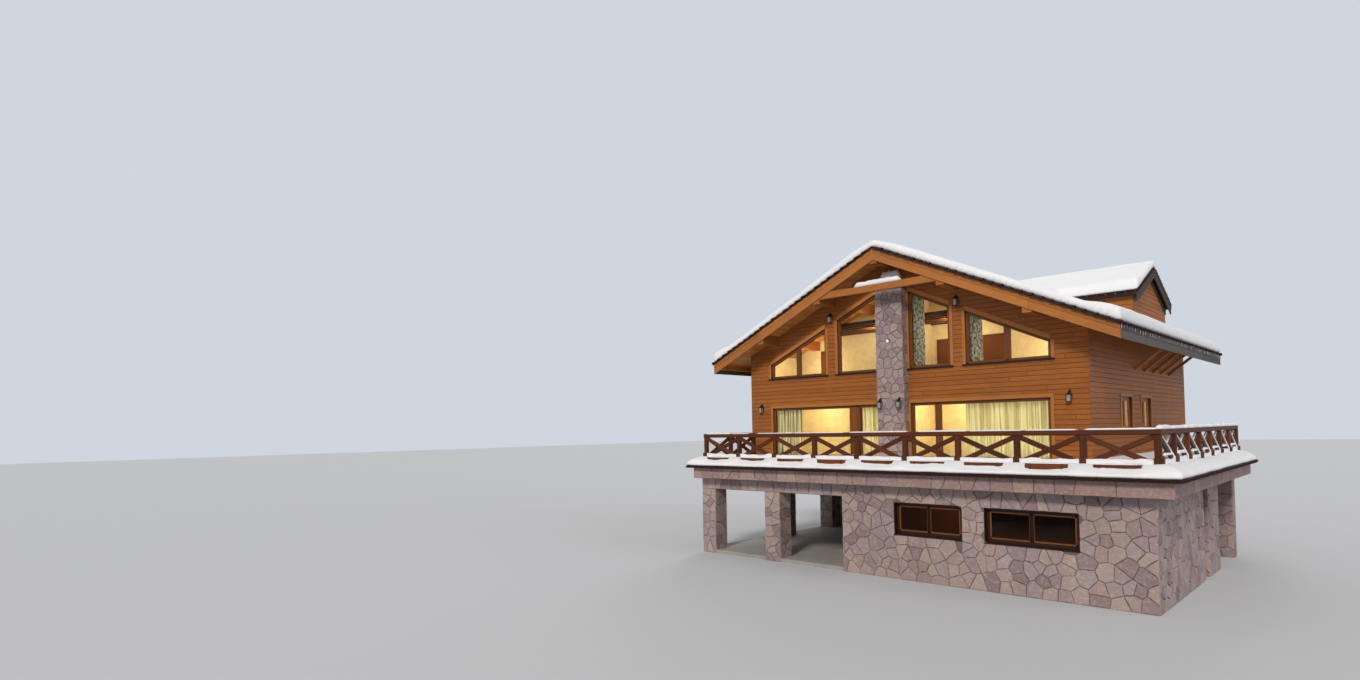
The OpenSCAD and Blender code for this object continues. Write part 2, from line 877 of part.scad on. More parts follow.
// The roof's outline with its snow: rounded over the ridge and at the eaves
module snow_outline_2d() {
    nose = snow_h - snow_eave;
    polygon(concat([[0, deck_z], [0, tile_z(0) + snow_ridge],
        [snow_round, tile_z(snow_round) + snow_h]],
        [for (a = [90 : -15 : 0]) [eave_x - nose + nose * cos(a),
            tile_z(eave_x) + snow_eave + nose * sin(a)]],
        [[eave_x, deck_z]]));
}

module roof_snow() {
    color("white") difference() {
        along_y(-rake_out, roof_back) difference() {
            both_sides() snow_outline_2d();
            under_roof_2d(0);
        }
        both_sides() dormer_volume();
    }
}

// Dormers, standing on the main roof over the side walls

// A strip that follows one dormer slope, between two depths below its tiles
module dormer_strip(top, bottom) {
    polygon([[0, dormer_z(0) - top], [dormer_half, dormer_z(dormer_half) - top],
        [dormer_half, dormer_z(dormer_half) - bottom], [0, dormer_z(0) - bottom]]);
}

module dormer_along(x0, x1) {
    translate([0, dormer_y, 0]) along_x(x0, x1) {
        children();
        mirror([1, 0]) children();
    }
}

// Half a dormer's end wall under its roof
module dormer_wall_2d() {
    polygon([[0, deck_z], [dormer_wall_y, deck_z],
        [dormer_wall_y, dormer_z(dormer_wall_y) - dormer_roof_t], [0, dormer_z(0) - dormer_roof_t]]);
}

// A dormer's outer form, cut out of the snow round it
module dormer_volume() {
    dormer_along(0, dormer_x) dormer_strip(0, dormer_roof_t);
    dormer_along(0, half_w) dormer_wall_2d();
    dormer_along(dormer_x - barge_t, dormer_x) dormer_strip(0, tile_h + dormer_barge_h);
}

module dormer_walls() {
    inner = dormer_wall_y - dormer_wall_t;
    color("goldenrod") both_sides() difference() {
        dormer_along(0, half_w) dormer_wall_2d();
        dormer_along(-past, half_w - dormer_wall_t) polygon([[0, 0], [inner, 0],
            [inner, dormer_z(0)], [0, dormer_z(0)]]);
        under_roof(0);
    }
}

module dormer_roofs() {
    color("saddlebrown") both_sides() difference() {
        dormer_along(0, dormer_x) dormer_strip(0, dormer_roof_t);
        dormer_along(dormer_x - barge_t, dormer_x + past) dormer_strip(tile_h, tile_h + dormer_barge_h);
        under_roof(0);
    }
}

module dormer_bargeboards() {
    difference() {
        dormer_along(dormer_x - barge_t, dormer_x) dormer_strip(tile_h, tile_h + dormer_barge_h);
        under_roof(0);
    }
}

module dormer_snow() {
    color("white") both_sides() difference() {
        dormer_along(0, dormer_x) dormer_strip(-dormer_snow_h, 0);
        along_y(-rake_out, roof_back) snow_outline_2d();
    }
}

// Lanterns

wall_lantern_x = (door_out + half_w) / 2;
pier_lantern_x = (tall_out + wing_in) / 2;
pilaster_lantern_x = pilaster_w / 2 - lantern;
lantern_places = [for (s = [-1, 1]) each [[s * wall_lantern_x, 0, lantern_z],
    [s * pier_lantern_x, 0, gable_head(pier_lantern_x) - deck_z + pier_lantern_up],
    [pilaster_x + s * pilaster_lantern_x, -pilaster_d, lantern_z]]];

// A lantern hanging in front of its wall plate, with its top about z = 0
module lantern_body() {
    plate = lantern * 0.6;
    arm = lantern * 0.2;
    translate([0, -bracket, 0]) {
        translate([-lantern / 2, -lantern / 2, -lantern_h]) cube([lantern, lantern, lantern_h]);
        cylinder(h = lantern_h / 3, r1 = lantern * 0.65, r2 = arm / 2);
    }
    translate([-arm / 2, -bracket, 0]) cube([arm, bracket, arm]);
    translate([-plate / 2, -arm, -lantern]) cube([plate, arm, 2 * lantern]);
}

module wall_lanterns() {
    color("black") {
        for (p = lantern_places) translate([p[0], p[1], deck_z + p[2]]) lantern_body();
        translate([pilaster_x, -pilaster_d, deck_z + spot_z]) rotate([90, 0, 0])
            cylinder(h = spot_d, d = spot_d);
    }
}

ground_floors();
ground_front_wall();
ground_right_wall();
ground_side_wall();
ground_back_wall();
ground_left_wall();
loggia_side_wall();
loggia_back_wall();
loggia_pillars();
loggia_lintel();
wing_piers();
ground_window_frames();
edge_beam();
terrace_deck();
main_floor();
terrace_ledge();
terrace_snow();
front_railing();
right_railing();
end_railings();
planter_boxes();
front_wall_lower();
front_wall_upper();
right_wall();
left_wall();
back_wall();
pilaster();
upper_floor();
front_window_frames();
side_window_frames();
front_glass();
side_glass();
purlins();
tie_beams();
eave_struts();
roof_right();
roof_left();
roof_tiles();
bargeboards();
eave_fascias();
dormer_walls();
dormer_roofs();
dormer_snow();
roof_snow();
wall_lanterns();
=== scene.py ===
import math
import random

import bmesh
import bpy
from mathutils import Matrix, Vector, noise


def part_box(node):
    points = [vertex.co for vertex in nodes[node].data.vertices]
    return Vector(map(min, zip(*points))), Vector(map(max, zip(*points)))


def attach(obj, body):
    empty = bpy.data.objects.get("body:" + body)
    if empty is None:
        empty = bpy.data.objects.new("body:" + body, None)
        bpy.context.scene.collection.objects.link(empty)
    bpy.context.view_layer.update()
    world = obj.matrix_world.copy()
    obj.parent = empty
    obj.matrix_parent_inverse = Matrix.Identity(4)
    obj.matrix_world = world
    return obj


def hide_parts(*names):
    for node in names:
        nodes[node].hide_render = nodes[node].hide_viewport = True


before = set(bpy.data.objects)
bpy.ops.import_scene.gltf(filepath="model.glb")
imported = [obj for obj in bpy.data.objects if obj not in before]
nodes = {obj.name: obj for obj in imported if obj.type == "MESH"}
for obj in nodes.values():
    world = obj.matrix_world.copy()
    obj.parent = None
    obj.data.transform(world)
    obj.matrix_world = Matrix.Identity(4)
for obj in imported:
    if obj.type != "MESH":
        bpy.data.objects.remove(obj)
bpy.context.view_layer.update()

random.seed(7)
X, Y, Z = Vector((1, 0, 0)), Vector((0, 1, 0)), Vector((0, 0, 1))


def add_object(name, data):
    made = bpy.data.objects.new(name, data)
    bpy.context.scene.collection.objects.link(made)
    return made


# Camera, at the photograph's viewing angle

PHOTO_W, PHOTO_H = 1360, 680
FOCAL_PX = 734.313
LEVEL_PX = 408.294
SENSOR_W = 36
YAW, PITCH, ROLL = math.radians(44.9266), math.radians(1.6859), math.radians(-1.013)
CAMERA_PLACE = (14.5207, -26.4160, 5.2676)


def add_camera():
    look = Vector((-math.sin(YAW) * math.cos(PITCH), math.cos(YAW) * math.cos(PITCH), math.sin(PITCH)))
    right = Vector((math.cos(YAW), math.sin(YAW), 0))
    up = right.cross(look)
    across = right * math.cos(ROLL) + up * math.sin(ROLL)
    upright = up * math.cos(ROLL) - right * math.sin(ROLL)
    data = bpy.data.cameras.new("photo_camera")
    data.sensor_width = SENSOR_W
    data.lens = SENSOR_W * FOCAL_PX / PHOTO_W
    data.shift_y = (LEVEL_PX - PHOTO_H / 2) / PHOTO_W
    data.clip_end = 500
    camera = add_object("photo_camera", data)
    camera.matrix_world = Matrix((across, upright, -look)).transposed().to_4x4()
    camera.location = CAMERA_PLACE
    bpy.context.scene.camera = camera


add_camera()

# Sizes and places, read from the frame

DECK, LEDGE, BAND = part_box("terrace_deck"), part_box("terrace_ledge"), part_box("edge_beam")
HOUSE, TILES, SIDE_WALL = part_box("main_floor"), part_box("roof_tiles"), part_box("right_wall")
DECK_Z = DECK[1].z
WALL_T = SIDE_WALL[1].x - SIDE_WALL[0].x
RIDGE_Z, EAVE_X = TILES[1].z, TILES[1].x
SLOPE = math.tan(math.radians(24.9))
TILE_H, ROOF_T = 0.07, 0.22
UNDER_ROOF = TILE_H + ROOF_T


def tile_z(x):
    """Top of the main tiles at a distance x from the ridge."""
    return RIDGE_Z - SLOPE * abs(x)


def loose_boxes(node):
    """The boxes of a CAD node's separate solids, as (low, high), from left to right."""
    bm = bmesh.new()
    bm.from_mesh(nodes[node].data)
    bmesh.ops.remove_doubles(bm, verts=bm.verts, dist=1e-4)
    seen, boxes = set(), []
    for first in bm.verts:
        if first in seen:
            continue
        seen.add(first)
        todo, found = [first], []
        while todo:
            vert = todo.pop()
            found.append(vert.co)
            near = {edge.other_vert(vert) for edge in vert.link_edges} - seen
            seen |= near
            todo += near
        boxes.append(tuple(Vector([pick(c[i] for c in found) for i in range(3)]) for pick in (min, max)))
    bm.free()
    return sorted(boxes, key=lambda box: tuple(box[0]))


# Node helpers

def feed(tree, socket, value):
    """Links a source to a socket, or sets the socket's value; a colour comes without its alpha."""
    if isinstance(value, bpy.types.NodeSocket):
        tree.links.new(value, socket)
    else:
        socket.default_value = (*value, 1) if socket.type == "RGBA" else value


def add_node(tree, kind, inputs=None, **settings):
    """A node with its settings, and with its inputs, by name or number, linked or set."""
    node = tree.nodes.new(kind)
    for name, value in settings.items():
        setattr(node, name, value)
    for label, value in (inputs or {}).items():
        feed(tree, node.inputs[label], value)
    return node


def new_group(name, kind, inputs, outputs):
    """A node group with named sockets, and the sockets to read its inputs from and feed its outputs to."""
    tree = bpy.data.node_groups.new(name, kind)
    for label, sort, value in inputs:
        socket = tree.interface.new_socket(label, in_out="INPUT", socket_type="NodeSocket" + sort)
        if value is not None:
            socket.default_value = value
    for label, sort in outputs:
        tree.interface.new_socket(label, in_out="OUTPUT", socket_type="NodeSocket" + sort)
    return tree, add_node(tree, "NodeGroupInput").outputs, add_node(tree, "NodeGroupOutput").inputs


def use_group(tree, group, **inputs):
    return add_node(tree, "ShaderNodeGroup", inputs, node_tree=group).outputs


def mix_colors(tree, factor, a, b, mode="MIX"):
    inputs = {0: factor, 6: a, 7: b}
    return add_node(tree, "ShaderNodeMix", inputs, data_type="RGBA", blend_type=mode).outputs[2]


def math_node(tree, operation, a, b, clamp=False):
    return add_node(tree, "ShaderNodeMath", {0: a, 1: b}, operation=operation, use_clamp=clamp).outputs[0]


def times(tree, a, b):
    return math_node(tree, "MULTIPLY", a, b)


def plus(tree, a, b):
    return math_node(tree, "ADD", a, b)


def ramp(tree, factor, stops):
    """A colour ramp over (place, colour) stops."""
    node = add_node(tree, "ShaderNodeValToRGB", {0: factor})
    elements = node.color_ramp.elements
    while len(elements) < len(stops):
        elements.new(0.5)
    for element, (place, color) in zip(elements, stops):
        element.position = place
        element.color = (*color, 1)
    return node.outputs[0]


def noise_tex(tree, vector, scale, detail=3.0, rough=0.55):
    inputs = {"Vector": vector, "Scale": scale, "Detail": detail, "Roughness": rough}
    return add_node(tree, "ShaderNodeTexNoise", inputs).outputs["Fac"]


def stretch(tree, vector, scale):
    return add_node(tree, "ShaderNodeMapping", {"Vector": vector, "Scale": scale}).outputs["Vector"]


def face_tone(tree):
    """The tone from 0 to 1 that each face, board, stone or tile has."""
    return add_node(tree, "ShaderNodeAttribute", attribute_name="tone").outputs["Fac"]


# Shared effects

def make_wood_grain():
    """Grain along the vector's first axis, with long streaks, fine lines and a few knots."""
    tree, given, out = new_group(
        "wood grain", "ShaderNodeTree",
        [("Vector", "Vector", None), ("Light", "Color", None), ("Dark", "Color", None),
         ("Tone", "Float", 0.5)],
        [("Color", "Color"), ("Height", "Float")])
    vector = given["Vector"]
    streaks = noise_tex(tree, stretch(tree, vector, (0.7, 9.0, 9.0)), 2.2, 4.0)
    lines = noise_tex(tree, stretch(tree, vector, (1.5, 60.0, 60.0)), 2.0, 3.0, 0.7)
    cells = {"Vector": stretch(tree, vector, (1.1, 6.0, 6.0)), "Scale": 1.0}
    cells = add_node(tree, "ShaderNodeTexVoronoi", cells)
    knots = math_node(tree, "SUBTRACT", 1.0, times(tree, cells.outputs["Distance"], 9.0), True)
    shade = plus(tree, times(tree, streaks, 0.9), times(tree, lines, 0.45))
    shade = plus(tree, shade, times(tree, given["Tone"], 0.75))
    color = mix_colors(tree, math_node(tree, "SUBTRACT", shade, 0.62, True), given["Light"], given["Dark"])
    feed(tree, out["Color"], mix_colors(tree, times(tree, knots, 0.55), color, (0.03, 0.012, 0.006)))
    feed(tree, out["Height"], math_node(tree, "SUBTRACT", 1.0, times(tree, lines, 0.6)))
    return tree


def make_weathering():
    """A mask of blotches that run down a wall, from 0 to 1."""
    inputs = [("Vector", "Vector", None), ("Amount", "Float", 0.5)]
    tree, given, out = new_group("weathering", "ShaderNodeTree", inputs, [("Mask", "Float")])
    broad = noise_tex(tree, stretch(tree, given["Vector"], (1.0, 1.0, 0.35)), 0.8, 4.0)
    fine = noise_tex(tree, given["Vector"], 7.0, 4.0, 0.65)
    both = plus(tree, times(tree, broad, 0.7), times(tree, fine, 0.3))
    steep = add_node(tree, "ShaderNodeMapRange", {"Value": both, "From Min": 0.42, "From Max": 0.66})
    feed(tree, out["Mask"], times(tree, steep.outputs["Result"], given["Amount"]))
    return tree


WOOD_GRAIN = make_wood_grain()
WEATHERING = make_weathering()


# Materials

MAT = {}


def new_material(name):
    """An empty material, kept in MAT by its name, with its node tree and its texture coordinates."""
    material = bpy.data.materials.new(name)
    material.use_nodes = True
    MAT[name] = material
    return material, material.node_tree, add_node(material.node_tree, "ShaderNodeTexCoord").outputs


def finish(material, roughness, color, height=None, bump=(0.0, 1.0), **others):
    """Feeds a material's shader: roughness, colour, relief by (distance, strength), and other inputs."""
    tree = material.node_tree
    inputs = {label.replace("_", " "): value for label, value in others.items()}
    inputs.update({"Roughness": roughness, "Base Color": color})
    if height is not None:
        relief = {"Distance": bump[0], "Strength": bump[1], "Height": height}
        inputs["Normal"] = add_node(tree, "ShaderNodeBump", relief).outputs["Normal"]
    for label, value in inputs.items():
        feed(tree, tree.nodes["Principled BSDF"].inputs[label], value)
    return material


def dimmed(color, share):
    return tuple(c * share for c in color)


def timber(name, light, dark, roughness=0.55, coords="UV", turn=(0, 0, 0), wear=0.25,
           wear_color=(0.1, 0.07, 0.05)):
    """Stained wood. Grain runs along a piece's UV length, or along X of the turned object frame."""
    material, tree, places = new_material(name)
    vector = places[coords]
    if coords == "Object":
        vector = add_node(tree, "ShaderNodeMapping", {"Vector": vector, "Rotation": turn}).outputs["Vector"]
    grain = use_group(tree, WOOD_GRAIN, Vector=vector, Light=light, Dark=dark, Tone=face_tone(tree))
    worn = use_group(tree, WEATHERING, Vector=places["Object"], Amount=wear)
    color = mix_colors(tree, worn["Mask"], grain["Color"], wear_color)
    return finish(material, roughness, color, grain["Height"], (0.004, 0.5), Specular_IOR_Level=0.22)


def stonework(name, colors):
    """Rubble stone: a face's tone picks the stone's colour, and noise mottles it."""
    material, tree, places = new_material(name)
    place = places["Object"]
    mottle = noise_tex(tree, place, 5.0, 5.0, 0.65)
    veins = noise_tex(tree, stretch(tree, place, (3.0, 3.0, 9.0)), 3.0, 6.0, 0.7)
    lichen = ramp(tree, noise_tex(tree, place, 11.0, 6.0, 0.75), [(0.50, (0, 0, 0)), (0.66, (1, 1, 1))])
    color = ramp(tree, face_tone(tree), [(i / (len(colors) - 1), c) for i, c in enumerate(colors)])
    color = mix_colors(tree, times(tree, mottle, 0.7), color, (0.62, 0.52, 0.47), "OVERLAY")
    color = mix_colors(tree, times(tree, veins, 0.70), color, (0.16, 0.11, 0.11))
    color = mix_colors(tree, times(tree, lichen, 0.40), color, (0.60, 0.54, 0.56))
    worn = use_group(tree, WEATHERING, Vector=place, Amount=0.35)
    color = mix_colors(tree, worn["Mask"], color, (0.17, 0.12, 0.12))
    height = plus(tree, mottle, times(tree, noise_tex(tree, place, 28.0, 4.0), 0.5))
    return finish(material, 0.8, color, height, (0.012, 1.0))


def plain_stone(name, color, roughness=0.85, grain=18.0):
    """Mortar, concrete or plaster, with fine grit."""
    material, tree, places = new_material(name)
    grit = noise_tex(tree, places["Object"], grain, 5.0, 0.7)
    worn = use_group(tree, WEATHERING, Vector=places["Object"], Amount=0.3)
    base = mix_colors(tree, grit, color, dimmed(color, 0.55))
    base = mix_colors(tree, worn["Mask"], base, dimmed(color, 0.4))
    return finish(material, roughness, base, grit, (0.006, 0.6))


def clay_tile(name, color):
    material, tree, places = new_material(name)
    mottle = noise_tex(tree, places["Object"], 9.0, 5.0, 0.7)
    base = mix_colors(tree, mottle, color, dimmed(color, 0.35))
    base = mix_colors(tree, times(tree, face_tone(tree), 0.5), base, (0.045, 0.018, 0.012))
    return finish(material, 0.8, base, mottle, (0.004, 0.7), Specular_IOR_Level=0.2)


def snow_material(name):
    material, tree, places = new_material(name)
    drift = noise_tex(tree, places["Object"], 0.9, 4.0, 0.6)
    height = plus(tree, times(tree, drift, 3.0), noise_tex(tree, places["Object"], 45.0, 4.0, 0.7))
    color = mix_colors(tree, drift, (0.86, 0.87, 0.90), (0.76, 0.79, 0.86))
    return finish(material, 0.65, color, height, (0.012, 0.6), Sheen_Weight=0.15)


def cloudy(name, roughness, light, dark, scale, detail=3.0, bump=None, glow=0.0, **others):
    """Glass, ice or iron: two colours in soft clouds, with relief or a glow where they are given."""
    material, tree, places = new_material(name)
    clouds = noise_tex(tree, places["Object"], scale, detail)
    color = mix_colors(tree, clouds, light, dark)
    if glow:
        others.update(Emission_Color=color, Emission_Strength=glow)
    return finish(material, roughness, color, clouds if bump else None, bump, **others)


def curtain_cloth(name, light, dark, glow, pattern):
    """Woven cloth with a printed figure, and a painted glow: its colour is given out as emission, standing in
    for light from the room behind it.
    """
    material, tree, places = new_material(name)
    weave = add_node(tree, "ShaderNodeTexWave", {"Scale": 160.0, "Vector": places["UV"]}).outputs["Fac"]
    figure = noise_tex(tree, stretch(tree, places["UV"], pattern), 2.0, 2.0)
    color = ramp(tree, figure, [(0.40, light), (0.62, dark)])
    color = mix_colors(tree, times(tree, weave, 0.12), color, (0.3, 0.2, 0.05))
    # painted glow: emission of the cloth's own colour, in place of room light shining through it
    return finish(material, 0.85, color, weave, (0.001, 0.4), Emission_Color=color, Emission_Strength=glow,
                  Sheen_Weight=0.3)


timber("wall boards", (0.42, 0.140, 0.026), (0.20, 0.058, 0.010))
# Wall body behind the boards: darkened so the gaps between boards look dark, painted shade in the gaps
timber("wall core darkened as painted gap shade", (0.14, 0.055, 0.018), (0.08, 0.03, 0.010), coords="Object")
# Soffit boards: honey-brown wood, brightened and saturated past the wall boards as painted uplight from lamps
# below
timber("soffit boards", (0.70, 0.30, 0.080), (0.42, 0.16, 0.040))
timber("roof core", (0.40, 0.17, 0.055), (0.22, 0.08, 0.025), coords="Object", turn=(0, 0, math.pi / 2))
timber("trim boards", (0.50, 0.19, 0.045), (0.28, 0.095, 0.022), wear=0.15)
timber("beams", (0.47, 0.175, 0.042), (0.22, 0.075, 0.018))
timber("railing beams", (0.120, 0.030, 0.008), (0.045, 0.011, 0.003), 0.6, wear=0.3,
       wear_color=(0.04, 0.013, 0.005))
timber("planter boards", (0.17, 0.040, 0.011), (0.07, 0.018, 0.006))
timber("window frames", (0.028, 0.010, 0.006), (0.012, 0.005, 0.004), 0.5, wear=0.15,
       wear_color=(0.010, 0.005, 0.004))
# Front window frames: dark brown wood, darkened further as painted shade
timber("front frames darkened as painted shade", (0.18, 0.063, 0.019), (0.085, 0.029, 0.009), 0.4, wear=0.15)
timber("casements", (0.15, 0.055, 0.018), (0.06, 0.021, 0.009), 0.45, wear=0.15)
timber("sashes", (0.24, 0.082, 0.022), (0.11, 0.036, 0.010), 0.45, wear=0.15)
# Dormer bargeboards: dark grey-brown wood, darkened further as painted shade
timber("gable boards darkened as painted shade", (0.075, 0.055, 0.042), (0.035, 0.025, 0.020), 0.7, wear=0.3)
timber("fascia boards", (0.13, 0.112, 0.105), (0.055, 0.046, 0.044), 0.7, wear=0.45)
stonework("flagstones", [(0.44, 0.36, 0.33), (0.34, 0.28, 0.32), (0.48, 0.41, 0.37), (0.38, 0.29, 0.28),
                         (0.22, 0.165, 0.18), (0.41, 0.36, 0.38)])
stonework("band stones", [(0.40, 0.27, 0.24), (0.31, 0.20, 0.19), (0.43, 0.32, 0.27), (0.28, 0.21, 0.22),
                          (0.36, 0.23, 0.20)])
plain_stone("mortar", (0.19, 0.15, 0.15))
plain_stone("concrete", (0.42, 0.40, 0.37))
# Room plaster: pale, tinted warm yellow as painted lamplight
plain_stone("plaster", (0.90, 0.77, 0.48), 0.9, 4.0)
clay_tile("clay tiles", (0.040, 0.016, 0.012))
snow_material("snow")
cloudy("glass", 0.03, (0.96, 0.97, 0.95), (0.88, 0.90, 0.86), 2.5, Transmission_Weight=1.0, IOR=1.1)
cloudy("iron", 0.5, (0.03, 0.028, 0.027), (0.012, 0.011, 0.011), 40.0, 4.0, (0.002, 0.8), Metallic=0.7)
cloudy("lamp glass", 0.25, (0.40, 0.38, 0.36), (0.20, 0.18, 0.16), 12.0, 2.0, glow=0.04)
cloudy("spot glass", 0.25, (0.90, 0.86, 0.84), (0.75, 0.70, 0.68), 12.0, 2.0, glow=0.55)
cloudy("ice", 0.12, (0.80, 0.86, 0.92), (0.60, 0.68, 0.78), 20.0, Coat_Weight=0.5)
# Curtains and the blind: the fourth number is the strength of a painted glow standing in for room light behind
# them
curtain_cloth("cream curtain", (0.90, 0.76, 0.38), (0.50, 0.39, 0.13), 0.42, (5.0, 0.12, 1))
curtain_cloth("striped curtain", (0.88, 0.74, 0.34), (0.05, 0.05, 0.035), 0.35, (5.5, 0.1, 1))
curtain_cloth("leafy curtain", (0.62, 0.55, 0.38), (0.05, 0.055, 0.05), 0.12, (5.0, 4.0, 1))
curtain_cloth("blind", (0.80, 0.50, 0.20), (0.62, 0.34, 0.11), 0.40, (2.0, 2.0, 1))


# Building meshes

def rework(mesh, change):
    """Edits a mesh in place; change(bm) does the work."""
    bm = bmesh.new()
    bm.from_mesh(mesh)
    change(bm)
    bm.to_mesh(mesh)
    bm.free()


def new_mesh(name, points, faces, uvs):
    mesh = bpy.data.meshes.new(name)
    mesh.from_pydata(points, [], faces)
    layer = mesh.uv_layers.new(name="UVMap")
    for loop, uv in zip(layer.data, uvs):
        loop.uv = uv
    return mesh


class Mesh:
    """Faces of one piece, each with UVs in metres and a tone from 0 to 1."""

    def __init__(self):
        self.points, self.faces, self.uvs, self.tones = [], [], [], []

    def face(self, corners, tone=0.5, uvs=None):
        start = len(self.points)
        self.points += [tuple(c) for c in corners]
        self.faces.append(list(range(start, start + len(corners))))
        self.uvs += uvs or [(0, 0)] * len(corners)
        self.tones.append(tone)

    def tube(self, rings, tone=0.5, ends=(True, True)):
        """Faces from ring to ring of points, and over the two ends."""
        for a, b in zip(rings, rings[1:]):
            for i in range(len(a)):
                j = (i + 1) % len(a)
                self.face([a[i], a[j], b[j], b[i]], tone)
        if ends[0]:
            self.face(rings[0][::-1], tone)
        if ends[1]:
            self.face(rings[-1], tone)

    def bar(self, start, end, wide, high, across, tone, chamfer):
        """A straight bar with a section of wide (along across) by high, its long edges chamfered."""
        start, end, across = Vector(start), Vector(end), Vector(across)
        length = (end - start).length
        along = (end - start).normalized()
        across = (across - along * along.dot(across)).normalized()
        rise = along.cross(across)
        w, h, c = wide / 2, high / 2, min(chamfer, wide / 3, high / 3)
        section = [(-w + c, -h), (w - c, -h), (w, -h + c), (w, h - c),
                   (w - c, h), (-w + c, h), (-w, h - c), (-w, -h + c)]
        shift = random.random() * 7
        near, far = ([end_point + across * a + rise * b for a, b in section] for end_point in (start, end))
        v = shift
        for i, (a, b) in enumerate(section):
            j = (i + 1) % len(section)
            v_next = v + math.hypot(section[j][0] - a, section[j][1] - b)
            self.face([near[j], far[j], far[i], near[i]], tone,
                      [(shift, v_next), (shift + length, v_next), (shift + length, v), (shift, v)])
            v = v_next
        uvs = [(shift + a * 0.2, shift + b) for a, b in section]
        self.face(near, tone, uvs)
        self.face(far[::-1], tone, uvs[::-1])

    def plate(self, outline, depth, tone=0.5, along=X):
        """A flat board: a closed outline of points, thickened by the vector depth. Grain runs along."""
        outline = [Vector(p) for p in outline]
        depth, along = Vector(depth), Vector(along).normalized()
        across = depth.normalized().cross(along)
        normal = sum((a.cross(b) for a, b in zip(outline, outline[1:] + outline[:1])), Vector())
        if normal.dot(depth) < 0:
            outline.reverse()
        shift = random.random() * 7
        uvs = [(shift + p.dot(along), shift + p.dot(across)) for p in outline]
        top_uvs = [(u + depth.dot(along), v + depth.dot(across)) for u, v in uvs]
        self.face([p + depth for p in outline], tone, top_uvs)
        self.face(outline[::-1], tone, uvs[::-1])
        for i, p in enumerate(outline):
            j = (i + 1) % len(outline)
            (u0, v0), (u1, v1) = uvs[i], uvs[j]
            self.face([p, outline[j], outline[j] + depth, p + depth], tone,
                      [(u0, v0), (u1, v1), (u1, v1 + depth.length), (u0, v0 + depth.length)])

    def block(self, low, high, tone=0.5, along=X):
        (x0, y0, z0), (x1, y1, z1) = low, high
        self.plate([(x0, y0, z0), (x1, y0, z0), (x1, y1, z0), (x0, y1, z0)], (0, 0, z1 - z0), tone, along)

    def piece(self, name, material, slot, replaced=(), bevel=0.0, smooth=False, recalculated=False):
        mesh = new_mesh(name, self.points, self.faces, self.uvs)
        mesh.attributes.new("tone", "FLOAT", "FACE").data.foreach_set("value", self.tones)

        def clean(bm):
            bmesh.ops.remove_doubles(bm, verts=bm.verts, dist=1e-5)
            if bevel:
                sharp = [e for e in bm.edges if len(e.link_faces) == 2 and e.calc_face_angle(0) > 0.5]
                bmesh.ops.bevel(bm, geom=sharp, offset=bevel, segments=2, profile=0.6, affect="EDGES",
                                clamp_overlap=True)
            if recalculated:
                bmesh.ops.recalc_face_normals(bm, faces=bm.faces)
        rework(mesh, clean)
        if smooth:
            mesh.shade_smooth()
        return hand_over(add_object(name, mesh), material, replaced)


def hand_over(piece, material, replaced=()):
    """Gives a finished piece its material, hangs it under the root empty, and hides the CAD nodes it stands
    for.
    """
    piece.data.materials.clear()
    piece.data.materials.append(MAT[material])
    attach(piece, "root")
    if replaced:
        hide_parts(*replaced)
    return piece


def settle(piece):
    """Applies a piece's modifiers."""
    graph = bpy.context.evaluated_depsgraph_get()
    mesh = bpy.data.meshes.new_from_object(piece.evaluated_get(graph))
    piece.modifiers.clear()
    piece.data = mesh
    return piece


def add_modifier(piece, kind, **settings):
    modifier = piece.modifiers.new(kind.lower(), kind)
    for name, value in settings.items():
        setattr(modifier, name, value)
    return modifier


def copy_node(node, name):
    """A merged copy of a CAD node's mesh, as a new object."""
    mesh = nodes[node].data.copy()
    mesh.name = name

    def merge(bm):
        bmesh.ops.remove_doubles(bm, verts=bm.verts, dist=1e-4)
        bmesh.ops.dissolve_limit(bm, angle_limit=0.01, verts=bm.verts, edges=bm.edges)
    rework(mesh, merge)
    return add_object(name, mesh)


def dress_nodes(material, *names):
    """CAD nodes that keep their own mesh get a material."""
    for name in names:
        materials = nodes[name].data.materials
        materials.clear()
        materials.append(MAT[material])


# Timber cladding

BOARD_H, BOARD_T, BOARD_GAP = 0.172, 0.022, 0.010
BOARD_SET = 0.005
BOARD_BODY = BOARD_T + 2 * BOARD_SET
PART_BOARD = 0.03


def add_boards(mesh, corner, along, length, low, high, outward, seed):
    """Rows of boards on a wall face from low to high, with their butt joints set at random."""
    rng = random.Random(seed)
    rows = max(1, round((high - low) / BOARD_H))
    pitch = (high - low) / rows
    for row in range(rows):
        lift = outward * (BOARD_T / 2 - BOARD_SET) + Z * (low + (row + 0.5) * pitch - corner.z)
        place = -rng.uniform(0.0, 3.0)
        while place < length:
            run = rng.uniform(3.2, 5.2)
            a, b = max(0.0, place), min(length, place + run)
            if b - a > 0.05:
                ends = [corner + along * s + lift for s in (a + BOARD_GAP / 2, b - BOARD_GAP / 2)]
                mesh.bar(*ends, BOARD_BODY, pitch - BOARD_GAP, outward, rng.uniform(0.3, 0.7), 0.009)
            place += run


def clad_node(node, axis, sign, seed):
    """Boards on a node's outer faces in one direction, cut to the node's own outline."""
    outward, along = ((X, Y) if axis == 0 else (Y, X))
    outward = outward * sign
    mesh = Mesh()
    for low, high in loose_boxes(node):
        if axis == 0 and sign * (low.x + high.x) < 0:
            continue
        corner = low.copy()
        corner[axis] = high[axis] if sign > 0 else low[axis]
        add_boards(mesh, corner, along, high[1 - axis] - low[1 - axis], low.z, high.z, outward, seed)
    boards = mesh.piece(f"{node}_boards", "wall boards", "timber")
    cutter = copy_node(node, f"{node}_cutter")
    cutter.data.transform(Matrix.Translation(outward * (BOARD_T + 0.012)))
    add_modifier(boards, "BOOLEAN", operation="INTERSECT", solver="EXACT", object=cutter)
    settle(boards)
    bpy.data.objects.remove(cutter)


